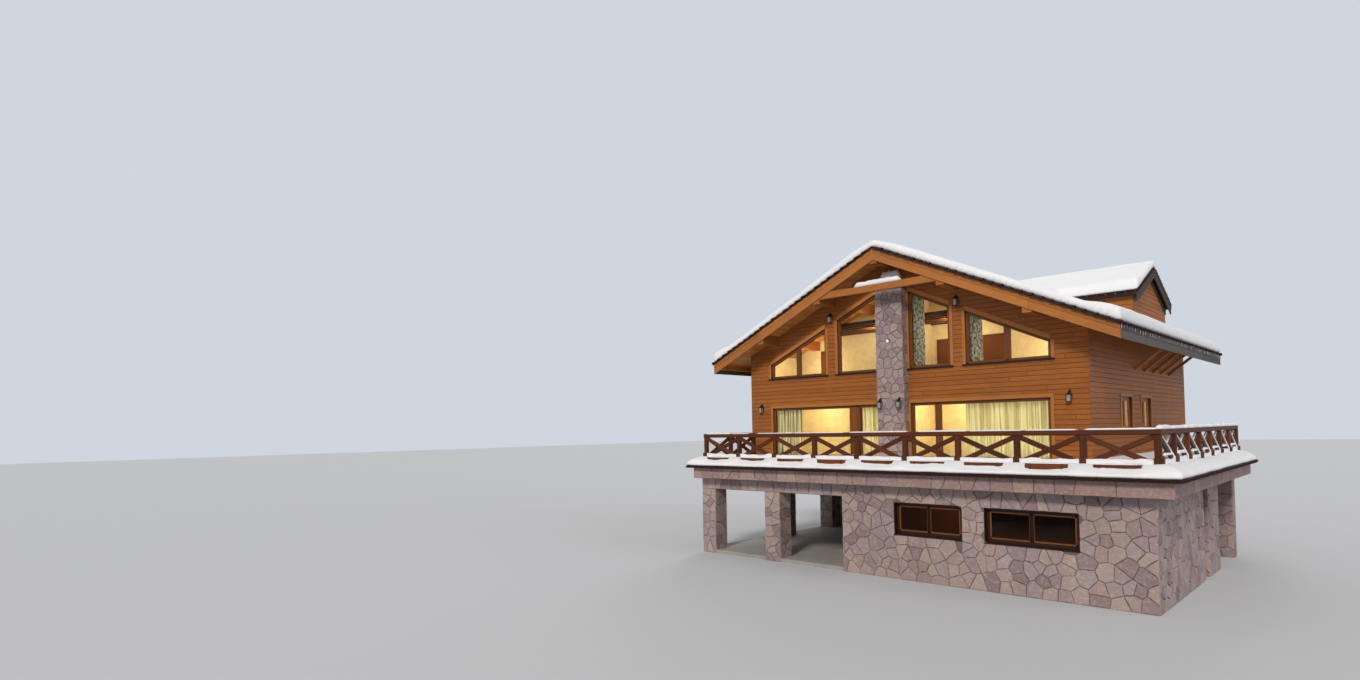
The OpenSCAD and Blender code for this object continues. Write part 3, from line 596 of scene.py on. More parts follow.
def clad_side(sign, name, seed):
    """Boards on a long side wall, fitted round its windows and wrapped over the gable walls' ends."""
    low, high = SIDE_WALL
    windows = [w for w in loose_boxes("side_window_frames")
               if abs(abs(w[0].x + w[1].x) / 2 - HOUSE[1].x) < 0.2 and sign * w[0].x > 0]
    mesh = Mesh()
    rng = random.Random(seed)
    rows = round((high.z - low.z) / BOARD_H)
    pitch = (high.z - low.z) / rows
    x = sign * (HOUSE[1].x + BOARD_T / 2 - BOARD_SET)

    def lay(y0, y1, z0, z1, tone, chamfer):
        z = (z0 + z1) / 2
        mesh.bar((x, y0, z), (x, y1, z), BOARD_BODY, z1 - z0 - BOARD_GAP, X * sign, tone, chamfer)
    for row in range(rows):
        z0 = low.z + row * pitch
        z1 = z0 + pitch
        met = [w for w in windows if w[0].z < z1 - 0.02 and w[1].z > z0 + 0.02]
        for first, last in met:
            for a, b in ((z0, first.z), (last.z, z1)):
                if b - a > PART_BOARD:
                    lay(first.y, last.y, a, b, 0.5, 0.006)
        edges = [HOUSE[0].y - BOARD_T]
        for a, b in sorted((w[0].y, w[1].y) for w in met):
            edges += [a, b]
        edges.append(HOUSE[1].y + BOARD_T)
        for y, stop in zip(edges[::2], edges[1::2]):
            while y < stop - 0.02:
                run = rng.uniform(3.2, 5.2)
                end = stop if stop - y - run < 0.6 else y + run
                lay(y, end - BOARD_GAP, z0, z1, rng.uniform(0.3, 0.7), 0.009)
                y = end
    mesh.piece(name, "wall boards", "timber")


for wall, facing in (("front_wall_lower", -1), ("front_wall_upper", -1), ("back_wall", 1)):
    clad_node(wall, 1, facing, len(wall) + facing)
clad_side(1, "right_wall_boards", 31)
clad_side(-1, "left_wall_boards", 29)
# the wall core shows between the boards; its dark colour is painted shade there
dress_nodes("wall core darkened as painted gap shade", "front_wall_lower", "front_wall_upper", "back_wall", "right_wall", "left_wall",
            "upper_floor")

# Stone facing

STONE_T = 0.026
LAP = STONE_T * 0.7
JOINT = 0.015
SKIPPED = 0.16
MIRRORED, EDGE_ZONE = 0.5, 0.1
MIN_EDGE, LONG_EDGE = 0.03, 0.16
PIER_STONE, PORCH_STONE, SIDE_STONE, PILASTER_STONE, BAND_STONE = 0.40, 0.36, 0.45, 0.29, 0.56
FRONT_STONE, RIGHT_STONE = 0.36, 0.37


def clip_cell(cell, point, normal):
    """The part of a convex outline on the near side of a line through point."""
    kept = []
    for i, a in enumerate(cell):
        b = cell[(i + 1) % len(cell)]
        da = (a[0] - point[0]) * normal[0] + (a[1] - point[1]) * normal[1]
        db = (b[0] - point[0]) * normal[0] + (b[1] - point[1]) * normal[1]
        if da <= 0:
            kept.append(a)
        if (da < 0 < db) or (db < 0 < da):
            t = da / (da - db)
            kept.append((a[0] + (b[0] - a[0]) * t, a[1] + (b[1] - a[1]) * t))
    return kept


def stone_sites(width, height, size, rows, holes, rng):
    """Jittered stone centres, and their mirror images across the edges of the face and its holes."""
    rows = rows or max(1, round(height / size))
    columns = max(1, round(width / size))
    sites = []
    for row in range(rows):
        for column in range(columns):
            u = (column + 0.25 + 0.5 * (row % 2) + rng.uniform(-0.40, 0.40)) * width / columns
            v = (row + 0.5 + rng.uniform(-0.36, 0.36) * (1 if rows > 1 else 0.5)) * height / rows
            u = min(max(u, 0.05), width - 0.05)
            blocked = any(h[0] - 0.04 < u < h[2] + 0.04 and h[1] - 0.04 < v < h[3] + 0.04 for h in holes)
            if not blocked and (rng.random() > SKIPPED or not 0 < column < columns - 1):
                sites.append((u, v))
    ghosts = []
    for u, v in sites:
        ghosts += [(-u, v), (2 * width - u, v), (u, -v), (u, 2 * height - v)]
        for u0, v0, u1, v1 in holes:
            for edge, side in ((u0, 1), (u1, -1)):
                if v0 + EDGE_ZONE < v < v1 - EDGE_ZONE and 0 < (edge - u) * side < MIRRORED:
                    ghosts.append((2 * edge - u, v))
            for edge, side in ((v0, 1), (v1, -1)):
                if u0 + EDGE_ZONE < u < u1 - EDGE_ZONE and 0 < (edge - v) * side < MIRRORED:
                    ghosts.append((u, 2 * edge - v))
    return sites, ghosts


def add_flagstones(mesh, start, end, low, high, outward, size, seed, rows=0, windows=()):
    """Irregular flat stones on an upright face between two (x, y) points, left out at windows."""
    rng = random.Random(seed)
    along = X if start[1] == end[1] else Y
    width, height = end[0] - start[0] + end[1] - start[1], high - low
    holes = [(w[0].x - start[0], w[0].z - low, w[1].x - start[0], w[1].z - low) for w in windows]
    sites, ghosts = stone_sites(width, height, size, rows, holes, rng)
    reach, everyone = 3.0 * size, sites + ghosts
    for u, v in sites:
        cell = [(u + reach * i, v + reach * j) for i, j in ((-1, -1), (1, -1), (1, 1), (-1, 1))]
        for other_u, other_v in everyone:
            far = math.hypot(other_u - u, other_v - v)
            if 1e-6 < far < 2 * reach:
                n = ((other_u - u) / far, (other_v - v) / far)
                back = far / 2 - JOINT / 2
                cell = clip_cell(cell, (u + n[0] * back, v + n[1] * back), n)
        for u0, v0, u1, v1 in holes:
            if u0 < u < u1:
                cell = clip_cell(cell, (0, v0 if v < v0 else v1), (0, 1 if v < v0 else -1))
            elif any(u0 < p < u1 and v0 < q < v1 for p, q in cell):
                cell = clip_cell(cell, (u0 if u < u0 else u1, 0), (1 if u < u0 else -1, 0))
        if len(cell) > 2:
            add_stone(mesh, cell, (u, v), Vector((*start, low)), along, outward, rng)


def add_stone(mesh, cell, site, corner, along, outward, rng):
    """One stone: rough sides, a chamfered rim and a slightly tilted face."""
    rough = []
    for i, a in enumerate(cell):
        b = cell[(i + 1) % len(cell)]
        du, dv = b[0] - a[0], b[1] - a[1]
        edge = math.hypot(du, dv)
        if edge >= MIN_EDGE:
            rough.append(a)
        if edge > LONG_EDGE:
            t, off = rng.uniform(0.35, 0.65), rng.uniform(-0.016, 0.003)
            rough.append((a[0] + du * t + dv / edge * off, a[1] + dv * t - du / edge * off))
    if len(rough) < 3:
        return
    tilt_u, tilt_v = rng.uniform(-0.012, 0.012), rng.uniform(-0.012, 0.012)
    thick = STONE_T + rng.uniform(-0.008, 0.006)
    tone = rng.random()
    rings = []
    for inset, rise, tilt in ((0, -0.01, 0), (0, thick * 0.6, 1), (0.016, thick, 1)):
        ring = []
        for u, v in rough:
            du, dv = u - site[0], v - site[1]
            pull = max(0.0, 1 - inset / (math.hypot(du, dv) or 1))
            lift = rise + tilt * (tilt_u * du + tilt_v * dv)
            ring.append(corner + along * (site[0] + du * pull) + Z * (site[1] + dv * pull) + outward * lift)
        rings.append(ring)
    if along.cross(Z).dot(outward) < 0:
        rings = [ring[::-1] for ring in rings]
    mesh.tube(rings, tone)


def stone_box(mesh, box, sides, seed, size, rows=0):
    """Flagstones on the named sides of a box: f front, b back, l left, r right."""
    low, high = box
    spans = {"f": ((low.x - LAP, low.y), (high.x + LAP, low.y), -Y),
             "b": ((low.x - LAP, high.y), (high.x + LAP, high.y), Y),
             "l": ((low.x, low.y - LAP), (low.x, high.y + LAP), -X),
             "r": ((high.x, low.y - LAP), (high.x, high.y + LAP), X)}
    for number, side in enumerate(sides):
        start, end, outward = spans[side]
        add_flagstones(mesh, start, end, low.z, high.z, outward, size, seed + number, rows)


def build_ground_stones():
    walls = [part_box(f"ground_{name}_wall") for name in ("front", "right", "side", "back", "left")]
    front, right, side, back, left = walls
    windows = loose_boxes("ground_window_frames")
    beam_low, beam_high = BAND[0].z, BAND[1].z
    mesh = Mesh()
    add_flagstones(mesh, (front[0].x - LAP, front[0].y), (front[1].x + LAP, front[0].y),
                   0, beam_low, -Y, FRONT_STONE, 1, windows=[w for w in windows if w[0].y < 0])
    add_flagstones(mesh, (right[1].x, front[0].y - LAP), (right[1].x, right[1].y + LAP),
                   0, beam_low, X, RIGHT_STONE, 2)
    add_flagstones(mesh, (right[0].x + WALL_T, right[1].y), (right[1].x + LAP, right[1].y),
                   0, beam_low, Y, RIGHT_STONE, 3)
    mesh.piece("ground_front_stones", "flagstones", "stone")
    mesh = Mesh()
    end = back[1].y
    add_flagstones(mesh, (side[1].x, right[1].y), (side[1].x, end + LAP), 0, side[1].z, X, SIDE_STONE, 4)
    add_flagstones(mesh, (left[0].x - LAP, end), (back[1].x + LAP, end), 0, beam_low, Y, SIDE_STONE, 5,
                   windows=[w for w in windows if w[0].y > 5])
    add_flagstones(mesh, (back[0].x, end), (back[1].x + LAP, end), beam_low, beam_high, Y, SIDE_STONE, 7)
    add_flagstones(mesh, (left[0].x, left[0].y - LAP), (left[0].x, end + LAP),
                   0, left[1].z, -X, SIDE_STONE, 6)
    core = Mesh()
    core.block((left[0].x, left[1].y, 0), (back[0].x, end, beam_high))
    core.piece("ground_corner_core", "mortar", "stone")
    for number, box in enumerate(loose_boxes("wing_piers")):
        stone_box(mesh, box, "fblr", 10 + 4 * number, PIER_STONE)
    mesh.piece("ground_side_stones", "flagstones", "stone")


def build_porch_stones():
    mesh = Mesh()
    for number, box in enumerate(loose_boxes("loggia_pillars")):
        stone_box(mesh, box, "fblr", 40 + 4 * number, PORCH_STONE)
    (x0, y0, z0), (x1, y1, z1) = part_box("loggia_lintel")
    side, back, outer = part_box("loggia_side_wall"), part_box("loggia_back_wall"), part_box("ground_left_wall")
    thick = outer[1].x - outer[0].x
    add_flagstones(mesh, (x0 - LAP, y0), (x1, y0), z0, z1, -Y, PORCH_STONE, 60)
    add_flagstones(mesh, (x0, y0 - LAP), (x0, y1), z0, z1, -X, PORCH_STONE, 61)
    add_flagstones(mesh, (x0 + thick, y0 + thick), (x1, y0 + thick), z0, z1, Y, PORCH_STONE, 62)
    add_flagstones(mesh, (side[0].x, side[0].y), (side[0].x, side[1].y - thick),
                   0, side[1].z, -X, SIDE_STONE, 63)
    add_flagstones(mesh, (back[0].x, back[0].y), (back[1].x, back[0].y), 0, back[1].z, -Y, SIDE_STONE, 64)
    mesh.piece("porch_stones", "flagstones", "stone")


def build_pilaster_stones():
    mesh = Mesh()
    low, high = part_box("pilaster")
    cap_h, cap_in = 0.45, 0.11
    shoulder = Vector((high.x, high.y, high.z - cap_h))
    cap = (Vector((low.x + cap_in, low.y + cap_in, shoulder.z)), Vector((high.x - cap_in, high.y, high.z)))
    stone_box(mesh, (low, shoulder), "flr", 70, PILASTER_STONE)
    stone_box(mesh, cap, "flr", 75, PILASTER_STONE, 1)
    mesh.piece("pilaster_stones", "flagstones", "stone")


def build_band_stones():
    """One row of longer stones on the terrace's edge beam."""
    mesh = Mesh()
    low, high = BAND
    end, beam_in = DECK[1].y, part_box("wing_piers")[0].x
    for start, stop, outward, seed in (
            ((low.x - LAP, low.y), (high.x + LAP, low.y), -Y, 80),
            ((high.x, low.y - LAP), (high.x, end + LAP), X, 81),
            ((low.x, low.y - LAP), (low.x, HOUSE[1].y + LAP), -X, 82),
            ((low.x - LAP, HOUSE[1].y), (HOUSE[0].x, HOUSE[1].y), Y, 84),
            ((beam_in, end), (high.x + LAP, end), Y, 83)):
        add_flagstones(mesh, start, stop, low.z, high.z, outward, BAND_STONE, seed, 1)
    mesh.piece("edge_band_stones", "band stones", "stone")


build_ground_stones()
build_porch_stones()
build_pilaster_stones()
build_band_stones()
dress_nodes("mortar", "ground_front_wall", "ground_right_wall", "ground_side_wall", "ground_back_wall",
            "ground_left_wall", "loggia_side_wall", "loggia_back_wall", "loggia_pillars", "loggia_lintel",
            "wing_piers", "pilaster", "edge_beam")
dress_nodes("concrete", "ground_floors", "terrace_deck", "main_floor")

# Roof timbers

MID_PURLIN_X, LOW_PURLIN_X, PURLIN = 2.64, 5.6, 0.30
EAVE_BEAM, EAVE_BEAM_IN = 0.16, 0.30
BARGE_H, BARGE_T, BUTT = 0.45, 0.045, 0.003
SOFFIT_BOARD, SOFFIT_GAP = 0.15, 0.006
STRUT_CUT = 0.16
FASCIA_LENGTH, FASCIA_PROUD = 4.1, 0.016
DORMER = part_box("dormer_roofs")
DORMER_Y = (DORMER[0].y + DORMER[1].y) / 2
DORMER_HALF = (DORMER[1].y - DORMER[0].y) / 2


def dormer_z(y):
    """Top of the dormer tiles at a distance y from the dormer ridge."""
    return DORMER[1].z - SLOPE * abs(y)


def build_soffit():
    """Boards under both slopes, running from the front to the back."""
    mesh = Mesh()
    rng = random.Random(5)
    low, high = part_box("roof_right")
    cosine = math.cos(math.atan(SLOPE))
    for sign in (1, -1):
        down = Vector((sign * cosine, 0, -SLOPE * cosine))
        below = Vector((-sign * SLOPE * cosine, 0, -cosine))
        for row in range(int(high.x / cosine / SOFFIT_BOARD)):
            middle = Z * (tile_z(0) - UNDER_ROOF) + down * ((row + 0.5) * SOFFIT_BOARD) + below * SOFFIT_GAP
            y = low.y
            while y < high.y:
                end = min(high.y, y + rng.uniform(3.5, 5.5))
                mesh.bar(middle + Y * y, middle + Y * (end - 0.004), SOFFIT_BOARD - SOFFIT_GAP, 0.02, down,
                         rng.random(), 0.004)
                y = end
    # painted uplight: the soffit boards' colour is brightened
    mesh.piece("soffit_boards", "soffit boards", "roof_wood")


def build_bargeboards():
    """Two layers of boards along each rake, the upper one proud, with their butt joints."""
    mesh = Mesh()
    low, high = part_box("bargeboards")
    for y, out in ((low.y, -1), (high.y, 1)):
        inner = y - out * BARGE_T
        for sign in (1, -1):
            for top, bottom, proud in ((0.0, 0.16, 0.018), (0.155, BARGE_H, 0.0)):
                joints = [high.x * share for share in (0, 0.34, 0.68, 1)]
                for a, b in zip(joints, joints[1:]):
                    outline = [(sign * x, inner, tile_z(x) - TILE_H - drop) for x, drop in
                               ((a, top), (b - BUTT, top), (b - BUTT, bottom), (a, bottom))]
                    mesh.plate(outline, (0, out * (BARGE_T + proud), 0), random.random() * 0.6,
                               (sign, 0, -SLOPE))
    dormers = Mesh()
    for sign in (1, -1):
        add_dormer_boards(dormers, sign)
    # the dormer boards' dark colour is partly painted shade
    dormers.piece("dormer_boards", "gable boards darkened as painted shade", "roof_wood", (), 0.006)
    mesh.piece("bargeboards_dressed", "beams", "roof_wood", ["bargeboards"], 0.006)


def add_dormer_boards(mesh, sign):
    """A dormer's bargeboards in two layers, and the inner pair of boards against its gable."""
    outer, face = sign * (DORMER[1].x - BARGE_T), sign * (HOUSE[1].x + BOARD_T)
    layers = [(outer, DORMER_HALF, 0.0, 0.13, BARGE_T + 0.015), (outer, DORMER_HALF, 0.125, 0.34, BARGE_T)]
    for side in (1, -1):
        for x, half, top, bottom, thick in layers:
            add_dormer_board(mesh, x, side, half, TILE_H + top, TILE_H + bottom, sign * thick,
                             random.random() * 0.6)
    for side in (1, -1):
        add_dormer_board(mesh, face, side, DORMER_HALF - 0.21, 0.21, 0.53, sign * 0.035, 0.5)


def add_dormer_board(mesh, x, side, half, top, bottom, thick, tone):
    outline = [(x, DORMER_Y + side * d, dormer_z(d) - drop)
               for d, drop in ((0, top), (half, top), (half, bottom), (0, bottom))]
    mesh.plate(outline, (thick, 0, 0), tone, (0, side, -SLOPE))


def build_roof_frame():
    """Purlins, eave beams and tie beams, with their grain along each."""
    mesh = Mesh()
    low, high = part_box("purlins")
    for x in (-LOW_PURLIN_X, -MID_PURLIN_X, 0, MID_PURLIN_X, LOW_PURLIN_X):
        bottom = tile_z(abs(x) + PURLIN / 2) - UNDER_ROOF - PURLIN
        a, b = x - PURLIN / 2, x + PURLIN / 2
        tops = [b, 0, a] if x == 0 else [b, a]
        outline = [(a, low.y, bottom), (b, low.y, bottom)]
        outline += [(p, low.y, tile_z(p) - UNDER_ROOF) for p in tops]
        mesh.plate(outline, Y * (high.y - low.y), random.random(), Y)
    for sign in (1, -1):
        b = EAVE_X - EAVE_BEAM_IN
        a = b - EAVE_BEAM
        bottom = tile_z(b) - UNDER_ROOF - EAVE_BEAM
        outline = [(sign * x, low.y, z) for x, z in
                   ((a, bottom), (b, bottom), (b, tile_z(b) - UNDER_ROOF), (a, tile_z(a) - UNDER_ROOF))]
        mesh.plate(outline, Y * (high.y - low.y), random.random(), Y)
    for tie_low, tie_high in loose_boxes("tie_beams"):
        mesh.block(tie_low, tie_high, 0.4)
    mesh.piece("roof_beams", "beams", "roof_wood", ["purlins", "tie_beams"], 0.012)


def build_struts():
    mesh = Mesh()
    for low, high in loose_boxes("eave_struts"):
        sign, wall, tip = (1, low.x, high.x) if low.x > 0 else (-1, high.x, low.x)
        rise = (high.y - low.y) * math.sqrt(2)
        outline = [(wall, low.y, low.z), (tip, low.y, high.z), (tip - sign * STRUT_CUT, low.y, high.z),
                   (wall, low.y, low.z + rise)]
        mesh.plate(outline, (0, high.y - low.y, 0), random.random(), (sign, 0, 1))
    mesh.piece("eave_struts_dressed", "beams", "roof_wood", ["eave_struts"], 0.008)


def build_fascias():
    """Two boards one above the other along each eave, the upper one proud, in lengths."""
    mesh = Mesh()
    for low, high in loose_boxes("eave_fascias"):
        sign, x = (1, high.x) if low.x > 0 else (-1, low.x)
        height = high.z - low.z
        for z0, z1, proud in ((low.z, low.z + height * 0.62, 0.0),
                              (low.z + height * 0.60, high.z - 0.02, FASCIA_PROUD)):
            y = low.y
            while y < high.y - 0.01:
                end = min(high.y, y + FASCIA_LENGTH)
                x0, x1 = sorted((x - sign * BARGE_T, x + sign * proud))
                mesh.block((x0, y, z0), (x1, end - BUTT, z1), random.random(), Y)
                y = end
    mesh.piece("fascia_boards", "fascia boards", "grey_wood", ["eave_fascias"], 0.005)


build_soffit()
build_bargeboards()
build_roof_frame()
build_struts()
build_fascias()
dress_nodes("roof core", "roof_left", "roof_right")

for axis, first_seed in ((0, 90), (1, 95)):
    for facing in (1, -1):
        clad_node("dormer_walls", axis, facing, first_seed + facing)
# the dormer's wall core shows between its boards as painted shade
dress_nodes("wall core darkened as painted gap shade", "dormer_walls")


# Tiles at the roof and terrace edges, laid by Geometry Nodes

def row_item(name, rings):
    """An item to lay in rows: a closed tube through rings of points."""
    shape = Mesh()
    shape.tube(rings)
    mesh = bpy.data.meshes.new(name)
    mesh.from_pydata(shape.points, [], shape.faces)

    def close(bm):
        bmesh.ops.remove_doubles(bm, verts=bm.verts, dist=1e-5)
        bmesh.ops.recalc_face_normals(bm, faces=bm.faces)
    rework(mesh, close)
    return bpy.data.objects.new(name, mesh)


def make_tile(name, length, radius):
    """A half-round tile with its crown up, wider at its lower end, along +X from 0 to length."""
    angles = [math.pi * i / 6 for i in range(7)]
    rings = []
    for x, r in ((0.0, radius * 0.84), (length, radius)):
        rings.append([(x, math.cos(a) * r, math.sin(a) * r * 0.72) for a in angles]
                     + [(x, math.cos(a) * r * 0.82, math.sin(a) * r * 0.52) for a in reversed(angles)])
    return row_item(name, rings)


def make_icicle():
    """A hanging drop of ice, pointing along +X."""
    angles = [2 * math.pi * i / 5 for i in range(5)]
    return row_item("icicle", [[(x, math.cos(a) * r, math.sin(a) * r) for a in angles]
                               for x, r in ((-0.02, 0.016), (0.03, 0.012), (0.08, 0.006), (0.12, 0.001))])


def make_row_tree():
    """Lays an item at an even pitch along lines, with its X along "aim" and its Z along "up"."""
    tree, given, out = new_group(
        "lay in rows", "GeometryNodeTree",
        [("Geometry", "Geometry", None), ("Item", "Object", None), ("Pitch", "Float", 0.2),
         ("Size Spread", "Float", 0.0), ("Turn Spread", "Float", 0.0), ("Length Spread", "Float", 0.0),
         ("Seed", "Int", None), ("Material", "Material", None)],
        [("Geometry", "Geometry")])

    def direction(attribute):
        node = add_node(tree, "GeometryNodeInputNamedAttribute", {"Name": attribute},
                        data_type="FLOAT_VECTOR")
        return node.outputs["Attribute"]

    def vector_math(operation, inputs):
        return add_node(tree, "ShaderNodeVectorMath", inputs, operation=operation).outputs[0]

    def spread(label, reach, offset):
        """A random vector between minus and plus reach, times a named input."""
        low, high = (vector_math("SCALE", {0: Vector(reach) * sign, "Scale": given[label]})
                     for sign in (-1, 1))
        seed = add_node(tree, "FunctionNodeIntegerMath", {0: given["Seed"], 1: offset}, operation="ADD")
        inputs = {0: low, 1: high, "Seed": seed.outputs[0]}
        return add_node(tree, "FunctionNodeRandomValue", inputs, data_type="FLOAT_VECTOR").outputs[0]
    lines = add_node(tree, "GeometryNodeMeshToCurve", {"Mesh": given["Geometry"]})
    even = add_node(tree, "GeometryNodeResampleCurve",
                    {"Curve": lines.outputs["Curve"], "Length": given["Pitch"]}, mode="LENGTH")
    item = add_node(tree, "GeometryNodeObjectInfo", {"Object": given["Item"]})
    aimed = add_node(tree, "FunctionNodeAlignRotationToVector", {"Vector": direction("aim")}, axis="X")
    upright = {"Rotation": aimed.outputs["Rotation"], "Vector": direction("up")}
    turned = add_node(tree, "FunctionNodeAlignRotationToVector", upright, axis="Z", pivot_axis="X")
    euler = add_node(tree, "FunctionNodeEulerToRotation", {"Euler": spread("Turn Spread", (1, 1, 1), 0)})
    both = {"Rotation": turned.outputs["Rotation"], "Rotate By": euler.outputs["Rotation"]}
    jitter = add_node(tree, "FunctionNodeRotateRotation", both, rotation_space="LOCAL")
    size = vector_math("ADD", {0: (1, 1, 1), 1: spread("Size Spread", (1, 1, 1), 7)})
    size = vector_math("ADD", {0: size, 1: spread("Length Spread", (1, 0, 0), 13)})
    lay = add_node(tree, "GeometryNodeInstanceOnPoints", {
        "Points": even.outputs["Curve"], "Instance": item.outputs["Geometry"],
        "Rotation": jitter.outputs["Rotation"], "Scale": size})
    shade = add_node(tree, "FunctionNodeRandomValue", {"Seed": given["Seed"]}, data_type="FLOAT")
    tone = add_node(tree, "GeometryNodeStoreNamedAttribute",
                    {"Geometry": lay.outputs["Instances"], "Name": "tone"}, data_type="FLOAT",
                    domain="INSTANCE")
    value = next(s for s in tone.inputs if s.name == "Value" and s.enabled)
    feed(tree, value, next(s for s in shade.outputs if s.enabled))
    real = add_node(tree, "GeometryNodeRealizeInstances", {"Geometry": tone.outputs["Geometry"]})
    inputs = {"Geometry": real.outputs["Geometry"], "Material": given["Material"]}
    feed(tree, out["Geometry"], add_node(tree, "GeometryNodeSetMaterial", inputs).outputs["Geometry"])
    return tree


ROW_TREE = make_row_tree()


def lay_rows(name, lines, item, material, slot, **settings):
    """The piece of all items laid along lines of (start, end, aim, up)."""
    mesh = bpy.data.meshes.new(name)
    points = [tuple(p) for line in lines for p in line[:2]]
    mesh.from_pydata(points, [(2 * i, 2 * i + 1) for i in range(len(lines))], [])
    for label, index in (("aim", 2), ("up", 3)):
        layer = mesh.attributes.new(label, "FLOAT_VECTOR", "POINT")
        for i, line in enumerate(lines):
            layer.data[2 * i].vector = layer.data[2 * i + 1].vector = Vector(line[index]).normalized()
    piece = add_object(name, mesh)
    modifier = add_modifier(piece, "NODES", node_group=ROW_TREE)
    sockets = {s.name: s.identifier for s in ROW_TREE.interface.items_tree if s.in_out == "INPUT"}
    modifier[sockets["Item"]] = item
    modifier[sockets["Material"]] = MAT[material]
    for label, value in settings.items():
        modifier[sockets[label.replace("_", " ")]] = value
    hand_over(settle(piece), material)


TILE_SIZE, VERGE_SIZE, SLIM_SIZE = (0.27, 0.10), (0.42, 0.125), (0.22, 0.082)
TILE_PITCH, VERGE_PITCH, SLIM_PITCH, DROP_PITCH = 0.19, 0.34, 0.172, 0.31
VERGE_IN, VERGE_DROP, EDGE_IN = 0.055, 0.095, 0.1
RAKE_STOP, EAVE_ROW_IN, DORMER_ROW_IN = 0.42, 0.24, 0.22
DRIP_IN, DRIP_SLOPE = 0.19, 0.256 / 0.568
DRIP_Z = DECK_Z - 0.03 - 0.256 + DRIP_SLOPE * DRIP_IN - 0.030


def build_edge_tiles():
    """Half-round tiles along the rakes, the eaves, the dormers and the drip edge of the terrace."""
    tile, verge = make_tile("tile", *TILE_SIZE), make_tile("verge_tile", *VERGE_SIZE)
    slim, icicle = make_tile("slim_tile", *SLIM_SIZE), make_icicle()
    low, high = TILES
    rakes, dormer_rakes, eaves = [], [], []
    for sign in (1, -1):
        down, normal = Vector((sign, 0, -SLOPE)), Vector((sign * SLOPE, 0, 1))
        for y in (low.y + VERGE_IN, high.y - VERGE_IN):
            ends = [(sign * x, y, tile_z(x) - VERGE_DROP) for x in (0.03, EAVE_X - RAKE_STOP)]
            rakes.append((*ends, down + normal * 0.13, normal))
        x = EAVE_X - EAVE_ROW_IN
        ends = [(sign * x, y, tile_z(x) - TILE_H * 0.35 - 0.03) for y in (low.y + EDGE_IN, high.y - EDGE_IN)]
        eaves.append((*ends, down, normal))
        outer = sign * (DORMER[1].x - 0.085)
        for side in (1, -1):
            slope, up = Vector((0, side, -SLOPE)), Vector((0, side * SLOPE, 1))
            ends = [(outer + sign * 0.03, DORMER_Y + side * d, dormer_z(d) - 0.07)
                    for d in (0.03, DORMER_HALF - 0.25)]
            dormer_rakes.append((*ends, slope + up * 0.16, up))
            d = DORMER_HALF - DORMER_ROW_IN
            ends = [(x, DORMER_Y + side * d, dormer_z(d) - 0.05) for x in (sign * 4.2, outer)]
            eaves.append((*ends, slope, up))
    left, right, front = LEDGE[0].x, LEDGE[1].x, LEDGE[0].y
    drips = [((left + EDGE_IN, front + DRIP_IN, DRIP_Z), (right - EDGE_IN, front + DRIP_IN, DRIP_Z), -Y)]
    for x, end, out in ((right - DRIP_IN, DECK[1].y, X), (left + DRIP_IN, LEDGE[1].y, -X)):
        drips.append(((x, front + EDGE_IN, DRIP_Z), (x, end - EDGE_IN, DRIP_Z), out))
    drips = [(a, b, out - Z * DRIP_SLOPE, Z + out * DRIP_SLOPE) for a, b, out in drips]
    spread = {"Size_Spread": 0.04, "Turn_Spread": 0.03}
    lay_rows("verge_tiles", rakes, verge, "clay tiles", "tiles", Pitch=VERGE_PITCH, Seed=2, **spread)
    lay_rows("roof_edge_tiles", dormer_rakes + eaves, tile, "clay tiles", "tiles",
             Pitch=TILE_PITCH, Seed=3, **spread)
    lay_rows("terrace_edge_tiles", drips, slim, "clay tiles", "tiles", Pitch=SLIM_PITCH, Seed=4, **spread)
    drops = []
    for start, end, aim, up in eaves:
        outward = aim.normalized() * 0.23
        drops.append((Vector(start) + outward, Vector(end) + outward, -Z, X))
    lay_rows("icicles", drops, icicle, "ice", "snow", Pitch=DROP_PITCH, Seed=9, Turn_Spread=0.06,
             Length_Spread=0.6)
    for spare in (tile, verge, slim, icicle):
        bpy.data.objects.remove(spare)


build_edge_tiles()
dress_nodes("clay tiles", "roof_tiles", "terrace_ledge", "dormer_roofs")


# Snow

SNOW_CELL, SNOW_IN, LEDGE_CELL = 0.16, 0.005, 0.17
LEDGE_SECTION = [(-0.12, 0.06), (0.0, 0.10), (0.08, 0.11), (0.16, 0.095), (0.25, 0.06), (0.34, 0.015),
                 (0.43, -0.035), (0.50, -0.085), (0.548, -0.14), (0.562, -0.20), (0.545, -0.247),
                 (0.30, -0.165), (-0.12, -0.02)]


def smooth_step(value):
    value = min(max(value, 0.0), 1.0)
    return value * value * (3 - 2 * value)


def soft_snow(node, voxel, wave, extra, eave):
    """A node's snow, rounded off and gently uneven on top, with extra depth and a full edge at the eaves.
    eave(place) goes from 0 to 1 towards the eaves."""
    piece = copy_node(node, node + "_soft")
    add_modifier(piece, "REMESH", mode="VOXEL", voxel_size=voxel)
    settle(piece)

    def soften(bm):
        for _ in range(3):
            bmesh.ops.smooth_vert(bm, verts=bm.verts, factor=0.5, use_axis_x=True, use_axis_y=True,
                                  use_axis_z=True)
        bm.normal_update()
        for vert in bm.verts:
            if vert.normal.z > 0.15:
                broad = noise.noise(vert.co * 0.55) + 0.5 * noise.noise(vert.co * 1.9)
                vert.co.z += wave * broad + extra + 0.15 * smooth_step(eave(vert.co))
    rework(piece.data, soften)
    piece.data.shade_smooth()
    hand_over(piece, "snow", [node])


